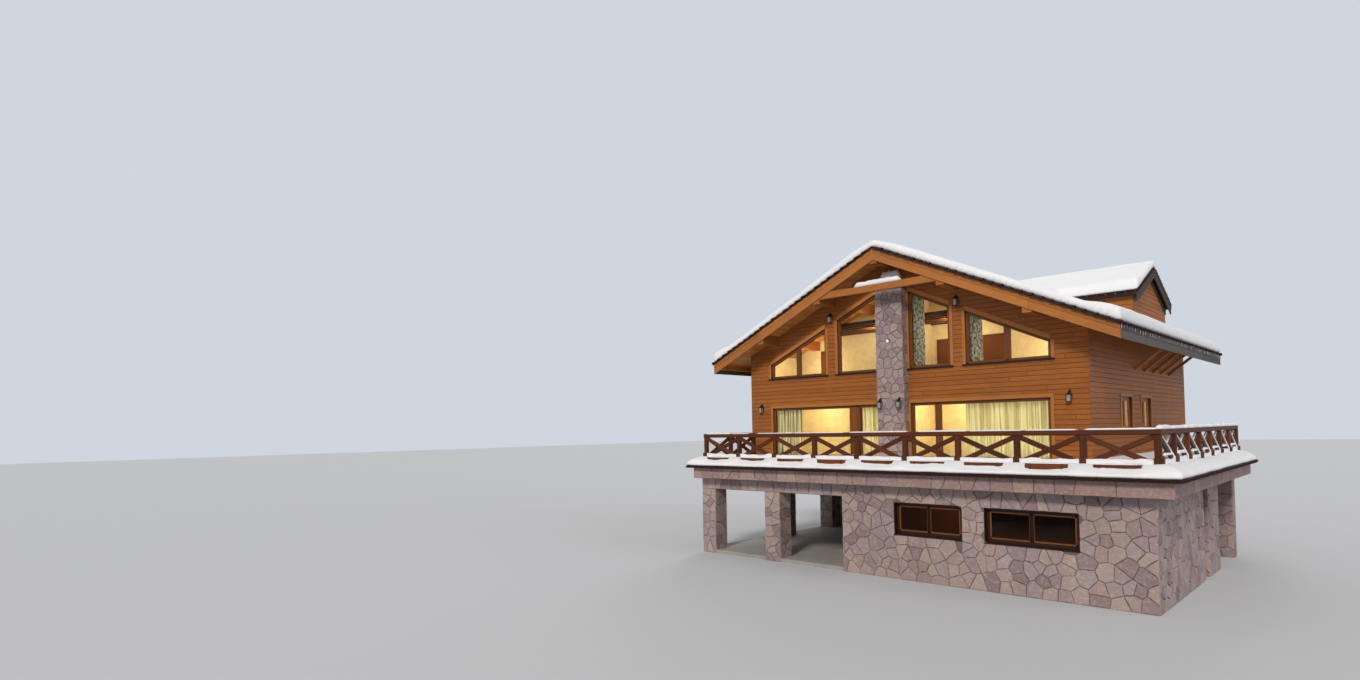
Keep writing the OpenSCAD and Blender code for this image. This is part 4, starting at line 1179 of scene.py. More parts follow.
def snow_grid(mesh, low, high):
    """A blanket of snow over a level rectangle of the deck, in cells of about SNOW_CELL."""
    columns = max(1, round((high[0] - low[0]) / SNOW_CELL))
    rows = max(1, round((high[1] - low[1]) / SNOW_CELL))
    base = DECK_Z - 0.01

    def point(i, j):
        x = low[0] + (high[0] - low[0]) * i / columns
        y = low[1] + (high[1] - low[1]) * j / rows
        return Vector((x, y, DECK_Z + deck_depth(x, y)))
    for i in range(columns):
        for j in range(rows):
            mesh.face([point(i, j), point(i + 1, j), point(i + 1, j + 1), point(i, j + 1)])
    rim = [point(i, 0) for i in range(columns)] + [point(columns, j) for j in range(rows)]
    rim += [point(i, rows) for i in range(columns, 0, -1)] + [point(0, j) for j in range(rows, 0, -1)]
    floor = [Vector((p.x, p.y, base)) for p in rim]
    for i, p in enumerate(rim):
        j = (i + 1) % len(rim)
        mesh.face([floor[i], floor[j], rim[j], p])
    mesh.face(floor[::-1])


def deck_depth(x, y):
    """Snow on the deck: deep along the railing, thinner towards the house."""
    edge = min(y - DECK[0].y, DECK[1].x - x, 3.0)
    drift = 0.5 + 0.5 * noise.noise(Vector((x * 0.7, y * 0.7, 3.0)))
    ripple = 0.5 + 0.5 * noise.noise(Vector((x * 2.1, y * 2.1, 5.0)))
    return 0.06 + 0.03 * drift + (0.07 + 0.16 * ripple) * smooth_step(1 - edge / 1.3)


def build_deck_snow():
    mesh = Mesh()
    right = DECK[1].x - SNOW_IN
    snow_grid(mesh, (DECK[0].x + SNOW_IN, DECK[0].y + SNOW_IN), (right, -SNOW_IN))
    snow_grid(mesh, (HOUSE[1].x + SNOW_IN, 0.0), (right, DECK[1].y - SNOW_IN))
    mesh.piece("deck_snow", "snow", "snow", smooth=True)


def ledge_points(out, lift):
    """Corners of a line round the terrace edge, at a distance out from the deck and a height over it."""
    left, front, right, z = DECK[0].x - out, DECK[0].y - out, DECK[1].x + out, DECK_Z + lift
    return [Vector(p) for p in ((left, LEDGE[1].y, z), (left, front, z), (right, front, z),
                                (right, DECK[1].y, z))]


def build_ledge_snow():
    """The snow on the ledge: thick, rounded over its drip edge, uneven, and lower at the planters."""
    mesh = Mesh()
    boxes = loose_boxes("planter_boxes")
    rng = random.Random(31)
    dips = [rng.uniform(0.03, 0.12) for _ in boxes]
    lines = [ledge_points(out, lift) for out, lift in LEDGE_SECTION]

    def ledge_point(leg, number, t):
        """A point of the section along a leg: uneven on top, and lower at the planters in front."""
        p = lines[number][leg].lerp(lines[number][leg + 1], t)
        if 0 < number < 11:
            wobble = noise.noise(p * 1.3) * 0.05 + noise.noise(p * 4.0) * 0.02
            p = p + Z * wobble * (1.0 if number < 8 else 0.25)
        if leg == 1 and 3 < number < 8:
            p = p - Z * max(smooth_step((0.78 - abs(p.x - (low.x + high.x) / 2)) / 0.22) * dip
                            for (low, high), dip in zip(boxes, dips))
        return p
    for leg in range(3):
        steps = max(2, round((lines[0][leg + 1] - lines[0][leg]).length / LEDGE_CELL))
        rings = [[ledge_point(leg, number, step / steps) for number in range(len(lines))]
                 for step in range(steps + 1)]
        mesh.tube(rings, ends=(leg == 0, leg == 2))
    mesh.piece("ledge_snow", "snow", "snow", ["terrace_snow"], smooth=True, recalculated=True)


def add_lump(mesh, centre, length, wide, high, along, seed):
    """A long low lump of snow with a flat base and uneven outline."""
    rng = random.Random(seed)
    across = Z.cross(along)
    steps, sides = max(4, int(length / 0.12)), 6
    rings = []
    for i in range(steps + 1):
        t = i / steps
        swell = (0.25 + 0.75 * smooth_step(min(t, 1 - t) * length / 0.16)) * rng.uniform(0.88, 1.08)
        half = wide / 2 * min(0.4 + swell * 0.6, 1)
        ring = []
        for k in range(sides + 1):
            a = math.pi * k / sides
            rise = math.sin(a) ** 0.6 * high * swell if 0 < k < sides else 0
            offset = along * ((t - 0.5) * length) + across * (math.cos(a) * half) + Z * rise
            ring.append(Vector(centre) + offset)
        rings.append(ring)
    mesh.tube(rings)


soft_snow("roof_snow", 0.10, 0.03, 0.05, lambda p: (abs(p.x) - 7.2) / 0.9)
soft_snow("dormer_snow", 0.08, 0.025, 0.03, lambda p: (abs(p.y - DORMER_Y) - 1.9) / 0.7)
build_deck_snow()
build_ledge_snow()

# Railing

POST, RAIL_W, RAIL_H, BRACE_W, BRACE_T, BRACE_GAP = 0.17, 0.17, 0.16, 0.155, 0.07, 0.06
RAIL_TOP = 1.07
RAIL_LOW = RAIL_TOP - RAIL_H
FRONT_BAYS, RIGHT_BAYS, LEFT_BAYS = 9, 7, 2


def bays_of(start, end, bays):
    """The braced stretch of each bay between its posts, as (start, end)."""
    step = (end - start) / bays
    clear = step.normalized() * (POST * 0.3)
    return [(start + step * bay + clear, start + step * (bay + 1) - clear) for bay in range(bays)]


def add_railing(mesh, start, end, bays, posts, trim):
    """A run of railing between two post centres at deck level. posts are the numbers of its posts."""
    along = (end - start).normalized()
    across = Z.cross(along)
    rail_z = Z * (RAIL_TOP - RAIL_H / 2)
    rail_start, rail_end = start - along * trim[0] + rail_z, end + along * trim[1] + rail_z
    mesh.bar(rail_start, rail_end, RAIL_W, RAIL_H, across, 0.4, 0.028)
    for number in posts:
        foot = start.lerp(end, number / bays)
        mesh.bar(foot - Z * 0.03, foot + Z * RAIL_LOW, POST, POST, across, random.random(), 0.026)
    bottom, top = Z * (BRACE_GAP + 0.03), Z * (RAIL_LOW - 0.03)
    for a, b in bays_of(start, end, bays):
        for p, q, side in ((a + bottom, b + top, 0.5), (a + top, b + bottom, -0.5)):
            offset = across * (side * BRACE_T * 0.5)
            mesh.bar(p + offset, q + offset, BRACE_W, BRACE_T, Z, random.random(), 0.016)


def add_feet(mesh, start, end, bays, outward):
    """The rounded lower ends of a run's posts, hanging over the deck's edge."""
    side = Z.cross(outward) * (POST / 2)
    for number in range(bays + 1):
        middle = start.lerp(end, number / bays) + Z * 0.02
        outline = [middle - side + Z * 0.25, middle + side + Z * 0.25]
        for i in range(7):
            angle = math.pi * i / 6
            outline.append(middle + side * math.cos(angle) - Z * (math.sin(angle) * POST / 2))
        mesh.plate(outline, outward * 0.06, random.random(), Z)


def add_brace_snow(snow, start, end, bays):
    """Snow that stuck to the upper edges of a railing's crossed braces."""
    across = Z.cross((end - start).normalized())
    depth, reach, low = 0.05, RAIL_LOW - BRACE_GAP - 0.12, BRACE_GAP + 0.06
    for a, b in bays_of(start, end, bays):
        for p, q, side in ((a, b, 0.5), (b, a, -0.5)):
            p, q = p + Z * low, q + Z * (low + reach)
            run = (q - p).normalized()
            lift = (Z - run * run.z).normalized() * (BRACE_W / 2 + depth * 0.3)
            offset = across * (side * BRACE_T) + lift
            p, q = p + run * 0.06 + offset, q - run * 0.16 + offset
            snow.bar(p, q, depth, BRACE_T * 0.96, lift, 0.5, 0.018)


def build_railings():
    front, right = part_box("front_railing"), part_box("right_railing")
    inset = RAIL_W / 2
    x0, x1, y0, y1 = front[0].x + inset, front[1].x - inset, front[0].y + inset, right[1].y - inset
    left_corner, right_corner = Vector((x0, y0, DECK_Z)), Vector((x1, y0, DECK_Z))
    far = Vector((x1, y1, DECK_Z))
    wall_left, wall_right = Vector((x0, -POST / 2, DECK_Z)), Vector((HOUSE[1].x + POST / 2, y1, DECK_Z))
    edge_left, edge_right, edge_front = X * (DECK[0].x - x0), X * (DECK[1].x - x1), Y * (DECK[0].y - y0)
    mesh = Mesh()
    add_railing(mesh, left_corner, right_corner, FRONT_BAYS, range(FRONT_BAYS + 1), (inset, inset))
    add_feet(mesh, left_corner + edge_front, right_corner + edge_front, FRONT_BAYS, -Y)
    mesh.piece("front_railing_dressed", "railing beams", "red_wood", ["front_railing"])
    mesh = Mesh()
    add_railing(mesh, right_corner, far, RIGHT_BAYS, range(1, RIGHT_BAYS + 1), (-inset, inset))
    add_feet(mesh, right_corner + edge_right, far + edge_right, RIGHT_BAYS, X)
    mesh.piece("right_railing_dressed", "railing beams", "red_wood", ["right_railing"])
    mesh = Mesh()
    add_railing(mesh, left_corner, wall_left, LEFT_BAYS, range(1, LEFT_BAYS + 1), (-inset, POST / 2))
    add_railing(mesh, wall_right, far, 1, range(1), (POST / 2, -inset))
    add_feet(mesh, left_corner + edge_left, wall_left + edge_left, LEFT_BAYS, -X)
    mesh.piece("end_railings_dressed", "railing beams", "red_wood", ["end_railings"])
    build_snow_caps(x0, x1, y0, y1)


def build_snow_caps(x0, x1, y0, y1):
    """Snow on the rails, the front tie beam, the pilaster's cap and the braces of the right side."""
    snow = Mesh()
    top = DECK_Z + RAIL_TOP - 0.012
    slim = RAIL_W * 0.9
    rng = random.Random(12)
    y = y0
    while y < y1 - 0.1:
        stop = min(y1, y + rng.uniform(0.9, 2.1))
        high = rng.uniform(0.09, 0.13)
        add_lump(snow, (x1, (y + stop) / 2, top), stop - y, RAIL_W * 1.12, high, Y, int(y * 9))
        y = stop - 0.06
    for x, length in ((x1 - 0.9, 1.9), (x1 - 4.6, 0.5), (x1 - 7.9, 0.35), (x0 + 0.8, 1.3), (x0 + 4.4, 0.5)):
        add_lump(snow, (x, y0, top), length, slim, 0.05, X, int(x * 7))
    x = x0
    while x < x1 - 0.3:
        stop = min(x1, x + rng.uniform(1.0, 2.4))
        add_lump(snow, ((x + stop) / 2, y0, top), stop - x, slim, rng.uniform(0.028, 0.05), X, int(x * 9))
        x = stop + rng.choice((-0.05, 0.12, 0.3))
    add_lump(snow, (x0, y0 / 2, top), 2.9, slim, 0.06, Y, 5)
    tie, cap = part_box("tie_beams"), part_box("pilaster")
    add_lump(snow, (0.1, tie[0].y + 0.09, tie[1].z - 0.015), 2.0, 0.20, 0.20, X, 6)
    cap_middle = ((cap[0].x + cap[1].x) / 2, (cap[0].y + 0.11 + cap[1].y) / 2, cap[1].z - 0.01)
    add_lump(snow, cap_middle, 0.88, 0.31, 0.36, X, 8)
    rng = random.Random(15)
    for i in range(1, RIGHT_BAYS + 1):
        y = y0 + i * (y1 - y0) / RIGHT_BAYS - 0.85
        for z, wide in ((0.09, 0.20), (0.33, 0.12)):
            length, high = rng.uniform(0.6, 1.1), rng.uniform(0.06, 0.12)
            add_lump(snow, (x1 + 0.02, y, DECK_Z + z), length, wide, high, Y, i)
    add_brace_snow(snow, Vector((x1, y0, DECK_Z)), Vector((x1, y1, DECK_Z)), RIGHT_BAYS)
    snow.piece("snow_caps", "snow", "snow", smooth=True)


def build_planters():
    """Boxes of two boards a side, with cleats, filled with snow."""
    mesh, filling = Mesh(), Mesh()
    board, gap = 0.028, 0.003
    for low, high in loose_boxes("planter_boxes"):
        high = high + Z * 0.03
        centre = (low + high) / 2
        for z0, z1 in ((low.z - 0.01, centre.z - gap), (centre.z + gap, high.z)):
            tone = random.random()
            for y in (low.y, high.y - board):
                mesh.block((low.x, y, z0), (high.x, y + board, z1), tone)
            for x in (low.x, high.x - board):
                mesh.block((x, low.y + board, z0), (x + board, high.y - board, z1), tone, Y)
        for x in (low.x + 0.12, high.x - 0.18):
            mesh.block((x, low.y - 0.012, low.z), (x + 0.06, low.y, high.z + 0.005), 0.9, Z)
        add_lump(filling, (centre.x, centre.y, high.z - 0.05), high.x - low.x - 0.07, high.y - low.y - 0.07,
                 random.uniform(0.05, 0.10), X, int(low.x * 11))
    mesh.piece("planter_boxes_dressed", "planter boards", "red_wood", ["planter_boxes"], 0.004)
    filling.piece("planter_snow", "snow", "snow", smooth=True)


build_railings()
build_planters()

# Windows

SASH_IN, SASH_GAP = 0.11 * 0.85, 0.012
CASING_W, CASING_T = 0.10, 0.022
LINING_T = 0.02
FRAME_IN, FRAME_T = 0.035, 0.085
MULLION_W, MULLION_Y, LEAF_W, LEAF_T = 0.17, 0.0775, 0.055, 0.03
SIDE_TRIM_W, LOW_TRIM_H, HEAD_TRIM_H = 0.11, 0.09, 0.17
DOOR_TRIM_W, DOOR_HEAD_H, TRIM_T = 0.1, 0.13, 0.02
SILL_D, SILL_H = 0.12, 0.07
DOOR_W, HANDLE_IN, HANDLE_Z = 1.08, 0.10, 1.05
MID_Z = DECK_Z + 2.6


def wall_window(low, high):
    """A window box's outward direction, its outer face, and its two ends along the wall."""
    if high.x - low.x < high.y - low.y:
        return (X, high.x, low.y, high.y) if low.x > 0 else (-X, low.x, low.y, high.y)
    return (-Y, low.y, low.x, high.x) if low.y < HOUSE[1].y / 2 else (Y, high.y, low.x, high.x)


def on_wall(out, face, a, b, low, high):
    """The corners of an upright rectangle from a to b on a wall face."""
    corners = ((a, low), (b, low), (b, high), (a, high))
    return [Vector((face, s, z)) if out.x else Vector((s, face, z)) for s, z in corners]


def frame_bars(mesh, corners, depth, wide, thick, outward, tone):
    """Bars round a window opening, inside its outline of corners (in order), at a depth behind the face."""
    centre = sum(corners, Vector()) / len(corners)
    for i, a in enumerate(corners):
        b = corners[(i + 1) % len(corners)]
        inward = outward.cross((b - a).normalized())
        if inward.dot(centre - a) < 0:
            inward = -inward
        shift = inward * (wide / 2) - outward * (depth + thick / 2)
        mesh.bar(a + shift, b + shift, wide, thick, inward, tone + 0.1 * (i % 2), 0.008)


def add_lining(mesh, a, b, low, high, face, reach):
    """Dark boards lining the jambs and the head of a window set back in the stone; their near-black colour is
    partly painted shade of the deep reveal.
    """
    y0, y1 = sorted((face, face + reach))
    for x0, x1 in ((a - 0.005, a + LINING_T), (b - LINING_T, b + 0.005)):
        mesh.block((x0, y0, low), (x1, y1, high), 0.6, Z)
    mesh.block((a + LINING_T, y0, high - LINING_T), (b - LINING_T, y1, high + 0.005), 0.6)


def build_casements():
    """Sashes of the side, back and ground windows: inner bars round each pane, and a sill board."""
    side_sashes, ground_sashes, sills = Mesh(), Mesh(), Mesh()
    for node, sashes, depth, thick, sill in (("side_window_frames", side_sashes, 0.004, 0.03, 0.13),
                                             ("ground_window_frames", ground_sashes, 0.0, 0.045, 0.22)):
        for low, high in loose_boxes(node):
            out, face, a, b = wall_window(low, high)
            middle = (a + b) / 2
            for c, d in ((a + SASH_IN, middle - SASH_GAP), (middle + SASH_GAP, b - SASH_IN)):
                corners = on_wall(out, face, c, d, low.z + SASH_IN, high.z - SASH_IN)
                frame_bars(sashes, corners, depth, 0.06, thick, out, 0.4)
            if sashes is ground_sashes:
                # the near-black lining is partly painted shade in the reveal
                add_lining(sills, a, b, low.z, high.z, face, out.y * (0.15 + STONE_T))
            start, end = on_wall(out, face, a - 0.02, b + 0.02, low.z - 0.015, high.z)[:2]
            shift = out * (sill / 2 - 0.02)
            sills.bar(start + shift, end + shift, sill, 0.035, out, 0.3, 0.008)
    side_sashes.piece("side_sashes", "trim boards", "dark_wood")
    ground_sashes.piece("ground_sashes", "sashes", "dark_wood")
    sills.piece("window_sills", "window frames", "dark_wood")


def side_trims(mesh):
    """Board casings round the side and back windows."""
    for low, high in loose_boxes("side_window_frames"):
        out, face, a, b = wall_window(low, high)
        face = (HOUSE[1].x + BOARD_T) * out.x + (HOUSE[1].y + BOARD_T) * out.y
        z0, z1 = low.z - CASING_W, high.z + CASING_W
        for s0, s1 in ((a - CASING_W, a), (b, b + CASING_W)):
            mesh.plate(on_wall(out, face, s0, s1, z0, z1), out * CASING_T, 0.5, Z)
        for bottom, top in ((z0, low.z), (high.z, z1)):
            mesh.plate(on_wall(out, face, a, b, bottom, top), out * CASING_T, 0.4, Y if out.x else X)


def gable_windows():
    """Outlines of the openings in the timber front, (x, z) from the lower left corner round."""
    outlines = []
    for low, high in loose_boxes("front_window_frames"):
        if high.z < MID_Z:
            outlines.append([(low.x, low.z), (high.x, low.z), (high.x, high.z), (low.x, high.z)])
            continue
        inner, outer = (low.x, high.x) if low.x > 0 else (high.x, low.x)
        outer_z = high.z - SLOPE * (high.x - low.x)
        ring = [(inner, low.z), (outer, low.z), (outer, outer_z), (inner, high.z)]
        outlines.append(ring if low.x > 0 else ring[::-1])
    return outlines


def extent(ring):
    """An outline's left, right, low and high."""
    return min(x for x, z in ring), max(x for x, z in ring), min(z for x, z in ring), max(z for x, z in ring)


def door_side(left, right):
    """Where a terrace opening meets the pilaster, and which way the opening runs from it."""
    return (left, 1) if left > 0 else (right, -1)


def front_panel(mesh, a, b, low, high, thick, tone, along=X):
    mesh.plate(on_wall(Y, -BOARD_T, a, b, low, high), (0, -thick, 0), tone, along)


def build_front_windows():
    frames, trims, sills = Mesh(), Mesh(), Mesh()
    for ring in gable_windows():
        frame_bars(frames, [Vector((x, 0, z)) for x, z in ring], FRAME_IN, FRAME_T, FRAME_T, -Y, 0.4)
        left, right, low, top = extent(ring)

        def upright(x, y, margin, head, wide, thick, tone, chamfer):
            frames.bar((x, y, low + margin), (x, y, head), wide, thick, X, tone, chamfer)
        if top > MID_Z:
            if right - left > 2.5:
                middle = (left + right) / 2
                head = min(tile_z(middle) - 1.33, top) - 0.05
                upright(middle, MULLION_Y, 0.04, head, MULLION_W, FRAME_T, 0.5, 0.01)
            add_head_trim(trims, ring)
            for x, sign in ((left, -1), (right, 1)):
                head = max(z for px, z in ring if px == x)
                front_panel(trims, x, x + sign * SIDE_TRIM_W, low - LOW_TRIM_H, head, TRIM_T, 0.4, Z)
            front_panel(trims, left, right, low - LOW_TRIM_H, low, 0.03, 0.5)
            start, end = [(x, -FRAME_IN, low - 0.02) for x in (left - SIDE_TRIM_W, right + SIDE_TRIM_W)]
            sills.bar(start, end, SILL_D, SILL_H, Y, 0.3, 0.006)
        else:
            near, sign = door_side(left, right)
            post = near + sign * DOOR_W
            upright(post, MULLION_Y, 0.04, top - 0.04, MULLION_W, FRAME_T, 0.5, 0.01)
            for x in (near + sign * 0.09, post - sign * 0.09):
                upright(x, FRAME_IN, 0.06, top - 0.06, LEAF_W, LEAF_T, 0.6, 0.006)
            front_panel(trims, left - DOOR_TRIM_W, right + DOOR_TRIM_W, top, top + DOOR_HEAD_H, TRIM_T, 0.5)
            for x, sign in ((left, -1), (right, 1)):
                front_panel(trims, x, x + sign * DOOR_TRIM_W, low, top, TRIM_T, 0.4, Z)
    side_trims(trims)
    sills.piece("gable_sills", "window frames", "dark_wood")
    frames.piece("front_window_bars", "front frames darkened as painted shade", "dark_wood")
    trims.piece("window_trims", "trim boards", "roof_wood", (), 0.004)


def add_head_trim(mesh, ring):
    """A pale board along a sloping window head."""
    (x0, z0), (x1, z1) = sorted(ring, key=lambda p: -p[1])[:2]
    outline = [(x0, -BOARD_T, z0), (x1, -BOARD_T, z1), (x1, -BOARD_T, z1 + HEAD_TRIM_H),
               (x0, -BOARD_T, z0 + HEAD_TRIM_H)]
    mesh.plate(outline, (0, -CASING_T, 0), 0.2, (x0 - x1, 0, z0 - z1))


def build_handles():
    """Lever handles on the two terrace doors."""
    mesh = Mesh()
    for ring in gable_windows():
        left, right, _, top = extent(ring)
        if top > MID_Z:
            continue
        near, sign = door_side(left, right)
        x, z = near + sign * (DOOR_W - HANDLE_IN), DECK_Z + HANDLE_Z
        mesh.bar((x, 0.010, z - 0.11), (x, 0.010, z + 0.11), 0.035, 0.012, X, 0.5, 0.003)
        mesh.bar((x, 0.018, z), (x, -0.035, z), 0.02, 0.02, X, 0.5, 0.004)
        mesh.bar((x + sign * 0.01, -0.035, z), (x - sign * 0.12, -0.035, z), 0.022, 0.016, Z, 0.5, 0.004)
    mesh.piece("door_handles", "iron", "iron")


build_front_windows()
build_casements()
dress_nodes("front frames darkened as painted shade", "front_window_frames", "side_window_frames")
dress_nodes("window frames", "ground_window_frames")
dress_nodes("glass", "front_glass", "side_glass")
build_handles()


# Curtains and blinds

WIDE_CURTAIN_FROM, DOOR_CURTAIN_FROM = 2.82, -1.52
CURTAIN_T, BLIND_T, FOLD_DEPTH = 0.003, 0.002, 0.045


def hang_sheet(name, mesh, thickness, material):
    """A thin cloth made solid, and given its material."""
    piece = add_object(name, mesh)
    add_modifier(piece, "SOLIDIFY", thickness=thickness)
    settle(piece)
    hand_over(piece, material)


def hang_curtain(name, x0, x1, head, bottom, y, material, folds_per_m, seed):
    """A gathered curtain between x0 and x1; head(x) is its top, which may follow a sloping window."""
    rng = random.Random(seed)
    width = x1 - x0
    folds = max(2, round(width * folds_per_m))
    steps, rows = folds * 6, 7
    phases = [rng.uniform(-0.5, 0.5) for _ in range(folds + 1)]
    points, faces, uvs, arc = [], [], [], [0.0]
    for i in range(steps + 1):
        t = i / steps
        fold = t * folds
        x = x0 + width * t
        swing = math.sin(fold * 2 * math.pi + phases[int(fold)])
        for j in range(rows + 1):
            s = j / rows
            z = head(x) + (bottom - head(x)) * s
            points.append((x + 0.008 * math.sin(3 * fold) * s, y + FOLD_DEPTH * (0.55 + 0.45 * s) * swing, z))
        if i:
            arc.append(arc[-1] + math.dist(points[-1], points[-2 - rows]))
    for i in range(steps):
        for j in range(rows):
            a = i * (rows + 1) + j
            faces.append((a, a + 1, a + rows + 2, a + rows + 1))
            uvs += [(arc[i + (c > a + 1)], points[c][2]) for c in faces[-1]]
    mesh = new_mesh(name, points, faces, uvs)
    mesh.shade_smooth()
    drop = sum(head(x0 + width * k / 8) for k in range(9)) / 9 - bottom
    hang_sheet(name, mesh, CURTAIN_T, material)


def build_curtains():
    rails = Mesh()
    inside = HOUSE[0].y + WALL_T + 0.11
    rings = sorted((extent(ring) + (ring,) for ring in gable_windows()), key=lambda row: row[:2])
    lower, upper = [row for row in rings if row[3] < MID_Z], [row for row in rings if row[3] > MID_Z]
    rail_z, floor = DECK_Z + 2.20, DECK_Z + 0.02
    for left, right, *_ in lower:
        rails.bar((left - 0.1, inside, rail_z), (right + 0.1, inside, rail_z), 0.03, 0.03, Z, 0.5, 0.006)
    far_left, near_left, far_right = lower[0][0], lower[0][1], lower[1][1]
    for name, x0, x1, cloth, folds_per_m, seed in (
            ("right_wide_curtain", WIDE_CURTAIN_FROM, far_right + 0.05, "cream curtain", 7, 1),
            ("left_door_curtain", DOOR_CURTAIN_FROM, near_left + 0.05, "cream curtain", 7, 3),
            ("left_wide_curtain", far_left - 0.05, far_left + 1.35, "striped curtain", 9, 4)):
        hang_curtain(name, x0, x1, lambda x: rail_z - 0.02, floor, inside, cloth, folds_per_m, seed)
    names = ("far_left", "near_left", "near_right", "far_right")
    for (left, right, low, _, ring), where in zip(upper, names):
        heads = [max(z for px, z in ring if px == x) for x in (left, right)]
        near, far = [(x, inside, z + 0.03) for x, z in ((left, heads[0]), (right, heads[1]))]
        rails.bar(near, far, 0.03, 0.03, Y, 0.5, 0.006)
        slope = (heads[1] - heads[0]) / (right - left)

        def head(x):
            return heads[0] + slope * (x - left) + 0.01
        if "right" in where:
            hang_curtain(f"upper_{where}_curtain", left + 0.02, left + 0.50, head, low - 0.05, inside,
                         "leafy curtain", 11, len(where))
    rails.piece("curtain_rails", "iron", "iron")


def build_blinds():
    """Pleated blinds close behind the side and back windows, in a cloth with a painted glow."""
    columns, rows = 8, 42
    for number, (low, high) in enumerate(loose_boxes("side_window_frames"), 1):
        out, _, a, b = wall_window(low, high)
        bottom, top = low.z + 0.05, high.z - 0.03
        wide, tall = b - a - 0.06, top - bottom
        axis = 0 if out.x else 1
        place = high.x - 0.012 if out.x < 0 else low[axis] + 0.012
        corners = on_wall(out, place, a + 0.03, b - 0.03, bottom, top)
        points, faces, uvs = [], [], []
        for i in range(columns + 1):
            for j in range(rows + 1):
                s, t = i / columns, j / rows
                p = corners[0].lerp(corners[1], s).lerp(corners[3].lerp(corners[2], s), t)
                p[axis] += 0.008 * (j % 2)
                points.append(p)
        for i in range(columns):
            for j in range(rows):
                c = i * (rows + 1) + j
                faces.append((c, c + rows + 1, c + rows + 2, c + 1))
                places = [divmod(k, rows + 1) for k in faces[-1]]
                uvs += [(wide * across / columns, tall * up / rows) for across, up in places]
        name = f"window_blind_{number}"
        mesh = new_mesh(name, points, faces, uvs)
        # the blind cloth glows: painted light, not a lamp
        hang_sheet(name, mesh, BLIND_T, "blind")


build_curtains()
build_blinds()

# Rooms behind the glass

ROOM_BACK, ROOM_WALL_T = 3.2, 0.1
DOOR_HALF, DOOR_H, DOOR_CASING = 0.42, 2.05, 0.08
JOIST_T, JOIST_H = 0.12, 0.16


def build_rooms():
    """Plastered walls behind the front windows, with inner doors, and dark joists over the upper rooms."""
    walls, doors, joists = Mesh(), Mesh(), Mesh()
    front, back, side = HOUSE[0].y + WALL_T, ROOM_BACK, HOUSE[1].x - WALL_T
    floor, ceiling, upper = DECK_Z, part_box("upper_floor")[0].z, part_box("upper_floor")[1].z
    under = UNDER_ROOF + 0.03
    eave, ridge, split = tile_z(side) - under, tile_z(0) - under, tile_z(0.2) - 0.7
    walls.block((-side, back, floor), (side, back + ROOM_WALL_T, ceiling))
    gable = [(-side, back, upper), (side, back, upper), (side, back, eave), (0, back, ridge),
             (-side, back, eave)]
    walls.plate(gable, (0, ROOM_WALL_T, 0))
    walls.block((0.1, front, floor), (0.2, back, ceiling))
    walls.plate([(0.1, front, upper), (0.1, back, upper), (0.1, back, split), (0.1, front, split)],
                (0.1, 0, 0))
    for x0, x1 in ((side - 0.02, side), (-side, 0.02 - side)):
        walls.block((x0, front, floor), (x1, back, ceiling))
        walls.block((x0, front, upper), (x1, back, eave))
    walls.block((-side, front, ceiling - 0.02), (side, back, ceiling))
    for x, level in ((4.6, floor), (-3.4, floor), (0.9, upper), (2.75, upper), (-4.9, upper)):
        head, casing = level + DOOR_H, back - 0.045
        doors.block((x - DOOR_HALF, back - 0.03, level), (x + DOOR_HALF, back, head), 0.4, Z)
        for edge in (x - DOOR_HALF - DOOR_CASING, x + DOOR_HALF):
            doors.block((edge, casing, level), (edge + DOOR_CASING, back, head + DOOR_CASING), 0.7, Z)
        doors.block((x - DOOR_HALF, casing, head), (x + DOOR_HALF, back, head + DOOR_CASING), 0.7)
    z = upper + 2.75
    reach = (RIDGE_Z - under - z - JOIST_H) / SLOPE - 0.05
    for number in range(6):
        y = front + 0.35 + number * 0.5
        for x0, x1 in ((-reach, 0.1), (0.2, reach)):
            joists.block((x0, y, z), (x1, y + JOIST_T, z + JOIST_H), 0.6)
    # the plaster's warm yellow is partly painted lamplight
    walls.piece("room_walls", "plaster", "concrete")
    doors.piece("room_doors", "front frames darkened as painted shade", "dark_wood")
    joists.piece("room_joists", "casements", "dark_wood")


build_rooms()

# Lanterns

CAGE, CAGE_H, SPOT_H = 0.15, 0.23, 0.2


def add_slab(mesh, x, y, half, bottom, top):
    mesh.block((x - half, y - half, bottom), (x + half, y + half, top))


def add_cone(mesh, base, r1, r2, height):
    angles = [2 * math.pi * i / 10 for i in range(10)]
    mesh.tube([[Vector(base) + (X * math.cos(a) + Y * math.sin(a)) * r + Z * h for a in angles]
               for r, h in ((r1, 0), (r2, height))])


def add_lantern(iron, panes, x, y, back, bottom):
    """A caged lantern with a pointed cap on a wall bracket."""
    half, top = CAGE / 2, bottom + CAGE_H
    for sx in (-half, half):
        for sy in (-half, half):
            foot, head = (x + sx * 0.82, y + sy * 0.82, bottom), (x + sx, y + sy, top)
            iron.bar(foot, head, 0.016, 0.016, X, 0.5, 0.003)
    add_slab(iron, x, y, half * 0.9, bottom - 0.012, bottom + 0.01)
    add_slab(iron, x, y, half * 1.15, top - 0.006, top + 0.012)
    add_slab(panes, x, y, half * 0.78, bottom + 0.01, top - 0.006)
    add_cone(iron, (x, y, top + 0.012), half * 1.2, 0.02, 0.085)
    add_cone(iron, (x, y, top + 0.095), 0.02, 0.006, 0.05)
    iron.bar((x, y, top + 0.11), (x, back, top + 0.11), 0.016, 0.02, X, 0.5, 0.004)
    iron.bar((x, y + 0.05, top + 0.10), (x, back, top - 0.05), 0.012, 0.014, X, 0.5, 0.003)
    iron.bar((x, back - 0.03, bottom + 0.02), (x, back - 0.03, top + 0.17), 0.07, 0.03, X, 0.5, 0.01)


